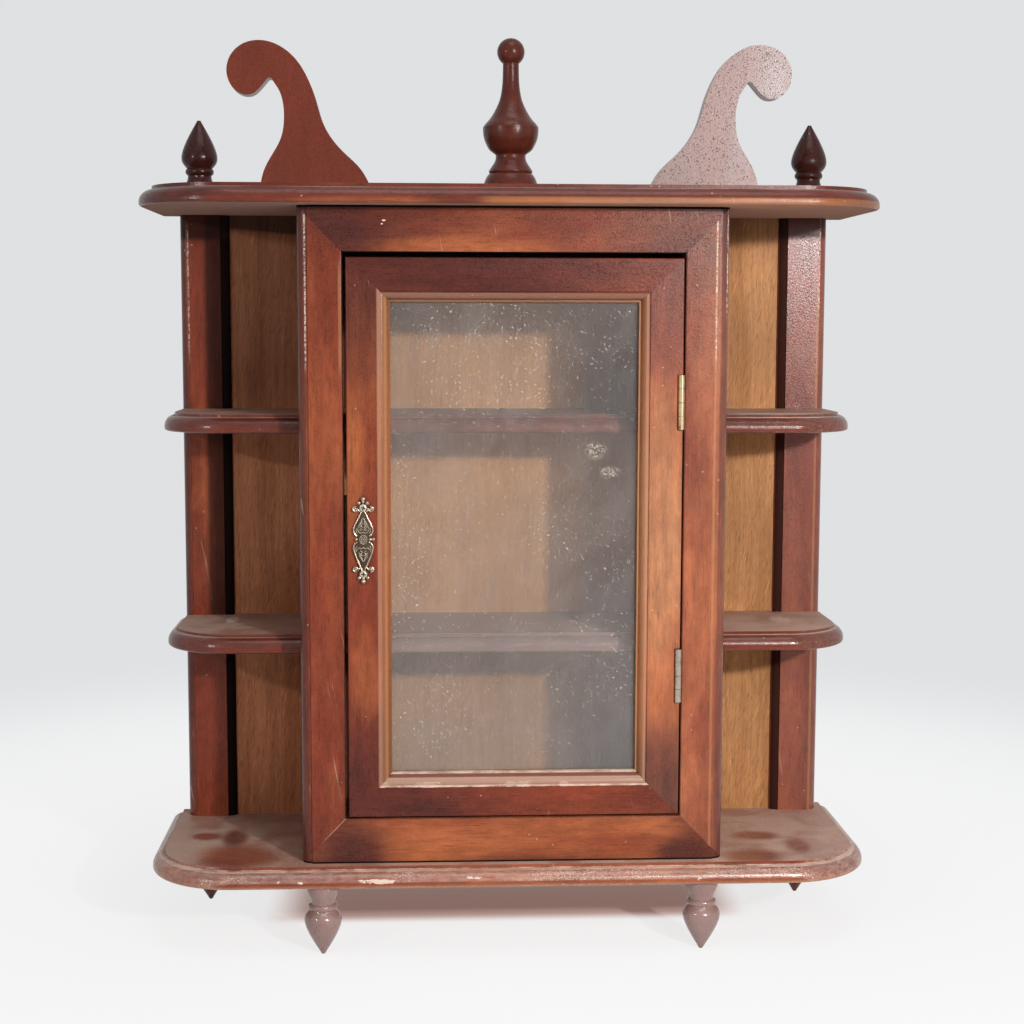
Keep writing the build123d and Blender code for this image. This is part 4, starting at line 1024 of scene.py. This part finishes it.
# The pull's relief, in mm from its middle. The rims of the two heart-shaped cartouches and the thin
# curls in them are drawn on the right and mirrored.
UPPER_RIM = [(0.5, 15.2), (1.2, 14.0), (2.4, 11.5), (3.8, 8.7), (4.75, 6.3), (4.7, 4.6), (4.1, 3.4),
             (3.1, 2.5)]
LOWER_RIM = [(2.9, -0.4), (4.2, -1.4), (4.85, -3.1), (4.5, -5.3), (3.5, -8.2), (2.3, -11.2),
             (1.2, -13.6), (0.6, -15.0)]
WAIST = (2.7, 1.2)
THIN_CURLS = [
    [(0, 11.8), (1.2, 9.6), (2.3, 7.4), (2.7, 6.2)],
    [(0, -10.4), (1.1, -8.8), (2.1, -7.0)],
    [(0, 4.6), (0.9, 4.1), (2.0, 4.4), (2.9, 5.9)],
    [(0, -3.2), (1.0, -3.9), (2.2, -3.4), (3.2, -4.4)],
    [(0.2, 8.9), (1.1, 8.0), (0.5, 7.0), (1.5, 6.2)],
    [(0.2, -7.6), (1.2, -6.6), (0.5, -5.6), (1.6, -4.9)],
    [(0.4, 10.2), (0.9, 9.2), (1.5, 8.9), (1.2, 7.6), (2.0, 7.0)],
    [(0.3, 6.2), (1.0, 5.4), (1.9, 5.9)],
    [(0.4, -8.8), (1.3, -8.2), (1.2, -7.2), (2.3, -5.9)],
    [(3.3, 6.6), (3.6, 5.2), (3.1, 4.0)],
    [(3.5, -5.4), (3.8, -3.9), (3.3, -2.4)],
    [(0, 3.1), (1.3, 2.3), (1.75, 0.75), (1.3, -0.8), (0, -1.6)],
    [(0, 2.2), (0.75, 1.6), (0.95, 0.75), (0.75, -0.1), (0, -0.7)],
]
# Lobes beside the screws: the height of the curl's centre, the curl's start and a bead's height.
LOBES = [(16.2, (2.0, 15.0), 19.2), (-14.4, (1.3, -13.2), -18.7)]
LOBE_X, LOBE_R = 3.9, 1.15
# Single beads: the place and the radius.
BEADS = [((5.0, 0.9), 1.1), ((0, 0.75), 0.7), ((0, 21.3), 1.4), ((0, 19.8), 1.0),
         ((0, -20.4), 1.5), ((0, -19.0), 1.1)]
BOSS_R, BOSS_Z = 2.45, 16.8


class THIMBLE_OT_pull(bpy.types.Operator):
    """Models the cast pull with its rims, curls and beads"""

    bl_idname = "thimble.pull"
    bl_label = "Model the pull"

    def execute(self, context):
        sizes = context.scene.pull_sizes
        low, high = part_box("pull_handle")
        cx, cz = (low.x + high.x) / 2, (low.z + high.z) / 2
        face = high.y - sizes.plate

        def at(points, rise=0.0):
            return [(cx + x * MM, face - rise * MM, cz + z * MM) for x, z in points]

        def flat(points):
            return [(cx + x * MM, cz + z * MM) for x, z in points]

        def ring(centre, radius, degrees, turn=1):
            return [(centre[0] + radius * math.cos(math.radians(d)),
                     centre[1] + turn * radius * math.sin(math.radians(d))) for d in degrees]

        def rim(points, s, thickness, steps=4, sides=8):
            return wire(rounded_path(at([(s * x, z) for x, z in points], 0.1), steps),
                        sizes.rim * thickness, sides)

        def drop(point, rise, size, cuts=2):
            return bead(at([point], rise)[0], tuple(s * MM for s in size), cuts)

        edge = UPPER_RIM + [WAIST] + LOWER_RIM
        outline = edge + [(-x, z) for x, z in reversed(edge)]
        pieces = [plate(flat(outline), face, sizes.plate, 0.00018)]
        for s in (-1, 1):
            pieces += [rim(run, s, 1.0) for run in (UPPER_RIM, LOWER_RIM)]
            pieces += [rim(run, s, 0.70, 3, 6) for run in THIN_CURLS]
            pieces.append(drop((s * 3.5, 0.9), 0.0, (1.1, 0.9, 1.0)))
            for level, start, small in LOBES:
                curl = ring((LOBE_X, level), LOBE_R, range(-190, 111, 30), math.copysign(1, level))
                pieces.append(rim([start] + curl, s, 1.1, 2))
                pieces.append(drop((s * LOBE_X, level), -0.1, (1.0, 0.7, 1.0)))
                pieces.append(drop((s * 2.1, small), 0.0, (1.2, 0.8, 1.1)))
        pieces += [drop(place, 0.2, (size, size, size), 3) for place, size in BEADS]
        for t in (-1, 1):
            boss = ring((0, t * BOSS_Z), BOSS_R, range(0, 360, 24))
            pieces.append(plate(flat(boss), face - 0.0001, sizes.plate + 0.0001, 0.0002))
        pull = joined("cast_pull", pieces)
        pull.data.materials.clear()
        pull.data.materials.append(aged_metal(
            "Antiqued bronze", (0.41, 0.325, 0.25), (0.085, 0.058, 0.040), 0.34, 0.54, 1100.0,
            (face - 0.00050, face - 0.00005)))
        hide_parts("pull_handle")
        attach(pull, "door")
        return {"FINISHED"}


# Each lamp: its place, the length of its sides, and the setting that holds its power.
LAMPS = {
    "main_lamp": ((0.49, -1.0, 0.515), 0.05, "key_power"),
    "soft_box": ((0.29, -0.79, 0.485), 0.20, "glare_power"),
    "left_lamp": ((-0.66, -0.64, 0.49), 0.03, "fill_power"),
    "overhead_lamp": ((0.10, -0.50, 1.80), 0.9, "top_power"),
}
LAMPS_AIM = (0, 0, 0.22)
# Painted bounce light from the stained underside: the tint of the floor's colour and of its glow
# under the case.
BOUNCE_ON_FLOOR = (0.96, 0.72, 0.63)
BOUNCE_IN_GLOW = (1.0, 0.70, 0.63)


def pale_floor(stage):
    """A plain pale floor that glows as pale as the background to the camera and keeps shadows, with
    a painted brownish tint of bounce light under the case.
    """
    made, tree, output = new_material("Pale floor")
    place = coords(tree)
    tint = ease(tree, noise(tree, place, 2.0), 0.3, 0.7, 0.985, 1.0)
    away = vector_calc(tree, "LENGTH", place)
    across, back, _ = split(tree, place)
    # under the case the glow gives way so that the real shadow shows, and a painted tint of bounce
    # light colours it
    below = product(tree, band(tree, calc(tree, "ABSOLUTE", across), -1.0, 100.0, 36.0),
                    band(tree, back, 14.0, 56.0, 16.0))
    stone = mix(tree, below, tuple(stage.floor), tinted(stage.floor, BOUNCE_ON_FLOOR))
    table = add(tree, "ShaderNodeBsdfDiffuse", {"Color": shade(tree, stone, tint)})
    pale = mix(tree, ease(tree, away, 0.22, 0.85), WHITE, tuple(stage.backdrop))
    pale = mix(tree, below, pale, BOUNCE_IN_GLOW)
    glow = add(tree, "ShaderNodeEmission", {"Color": pale, "Strength": 1.0})
    share = product(tree, ease(tree, away, 0.16, 0.62, 0.78, 1.0), seen_rays(tree),
                    calc(tree, "MULTIPLY_ADD", below, -0.78, 1.0))
    ground = add(tree, "ShaderNodeMixShader", {0: share, 1: table.outputs[0], 2: glow.outputs[0]})
    tree.links.new(ground.outputs[0], output.inputs["Surface"])
    return made


def set_background(scene, stage):
    """Soft light from all round, and a plain background for what the camera sees."""
    world = bpy.data.worlds.new("Background")
    scene.world = world
    world.use_nodes = True
    tree = world.node_tree
    tree.nodes.clear()
    light = add(tree, "ShaderNodeBackground", {"Color": rgba(WHITE), "Strength": stage.sky})
    show = add(tree, "ShaderNodeBackground", {"Color": rgba(stage.backdrop), "Strength": 1.0})
    both = add(tree, "ShaderNodeMixShader", {0: seen_rays(tree), 1: light.outputs[0],
                                             2: show.outputs[0]})
    out = add(tree, "ShaderNodeOutputWorld")
    tree.links.new(both.outputs[0], out.inputs["Surface"])


def set_camera(scene, stage):
    """A camera at its place, turned, tilted and rolled as the settings say."""
    ahead = Vector((math.sin(stage.turn) * math.cos(stage.tilt),
                    math.cos(stage.turn) * math.cos(stage.tilt), -math.sin(stage.tilt)))
    level = Vector((math.cos(stage.turn), -math.sin(stage.turn), 0))
    down = ahead.cross(level)
    side = math.cos(stage.roll) * level + math.sin(stage.roll) * down
    down = -math.sin(stage.roll) * level + math.cos(stage.roll) * down
    deselect()
    bpy.ops.object.camera_add(location=stage.eye)
    camera = active()
    camera.name = "camera"
    camera.matrix_world = (Matrix.Translation(stage.eye)
                           @ Matrix((side, -down, -ahead)).transposed().to_4x4())
    camera.data.sensor_width = 36.0
    camera.data.lens = stage.lens
    camera.data.clip_start = 0.01
    scene.camera = camera


class THIMBLE_OT_stage(bpy.types.Operator):
    """Sets up the floor, the lamps, the background and the camera"""

    bl_idname = "thimble.stage"
    bl_label = "Set the stage"

    def execute(self, context):
        scene = context.scene
        stage = scene.stage_settings
        scene.view_settings.view_transform = "Standard"

        deselect()
        bpy.ops.mesh.primitive_plane_add(size=30.0, location=(0, 0, 0))
        floor = active()
        floor.name = "floor"
        floor.data.materials.append(pale_floor(stage))

        for name, (place, size, power) in LAMPS.items():
            deselect()
            bpy.ops.object.light_add(type="AREA", location=place)
            lamp = active()
            lamp.name = name
            lamp.data.shape = "RECTANGLE"
            lamp.data.size = lamp.data.size_y = size
            lamp.data.energy = getattr(stage, power)
            way = Vector(place) - Vector(LAMPS_AIM)
            lamp.rotation_euler = way.to_track_quat("Z", "Y").to_euler()

        set_background(scene, stage)
        set_camera(scene, stage)
        return {"FINISHED"}


class THIMBLE_PT_sidebar(bpy.types.Panel):
    """Steps and settings of the display case"""

    bl_idname = "THIMBLE_PT_sidebar"
    bl_label = "Thimble case"
    bl_space_type = "VIEW_3D"
    bl_region_type = "UI"
    bl_category = "Thimble case"

    def draw(self, context):
        scene = context.scene
        for step in STEPS:
            self.layout.operator(step.bl_idname)
        for settings in (scene.case_finish, scene.pull_sizes, scene.stage_settings):
            for name in settings.__annotations__:
                self.layout.prop(settings, name)


STEPS = (THIMBLE_OT_stain, THIMBLE_OT_back, THIMBLE_OT_glass, THIMBLE_OT_fittings, THIMBLE_OT_pull,
         THIMBLE_OT_stage)
CLASSES = (CaseFinish, PullSizes, StageSettings, *STEPS, THIMBLE_PT_sidebar)


def register():
    for kind in CLASSES:
        bpy.utils.register_class(kind)
    bpy.types.Scene.case_finish = bpy.props.PointerProperty(type=CaseFinish)
    bpy.types.Scene.pull_sizes = bpy.props.PointerProperty(type=PullSizes)
    bpy.types.Scene.stage_settings = bpy.props.PointerProperty(type=StageSettings)


def unregister():
    del bpy.types.Scene.stage_settings
    del bpy.types.Scene.pull_sizes
    del bpy.types.Scene.case_finish
    for kind in reversed(CLASSES):
        bpy.utils.unregister_class(kind)


def main():
    register()
    bpy.ops.thimble.stain()
    bpy.ops.thimble.back()
    bpy.ops.thimble.glass()
    bpy.ops.thimble.fittings()
    bpy.ops.thimble.pull()
    bpy.ops.thimble.stage()
    deselect()


if __name__ == "__main__":
    main()
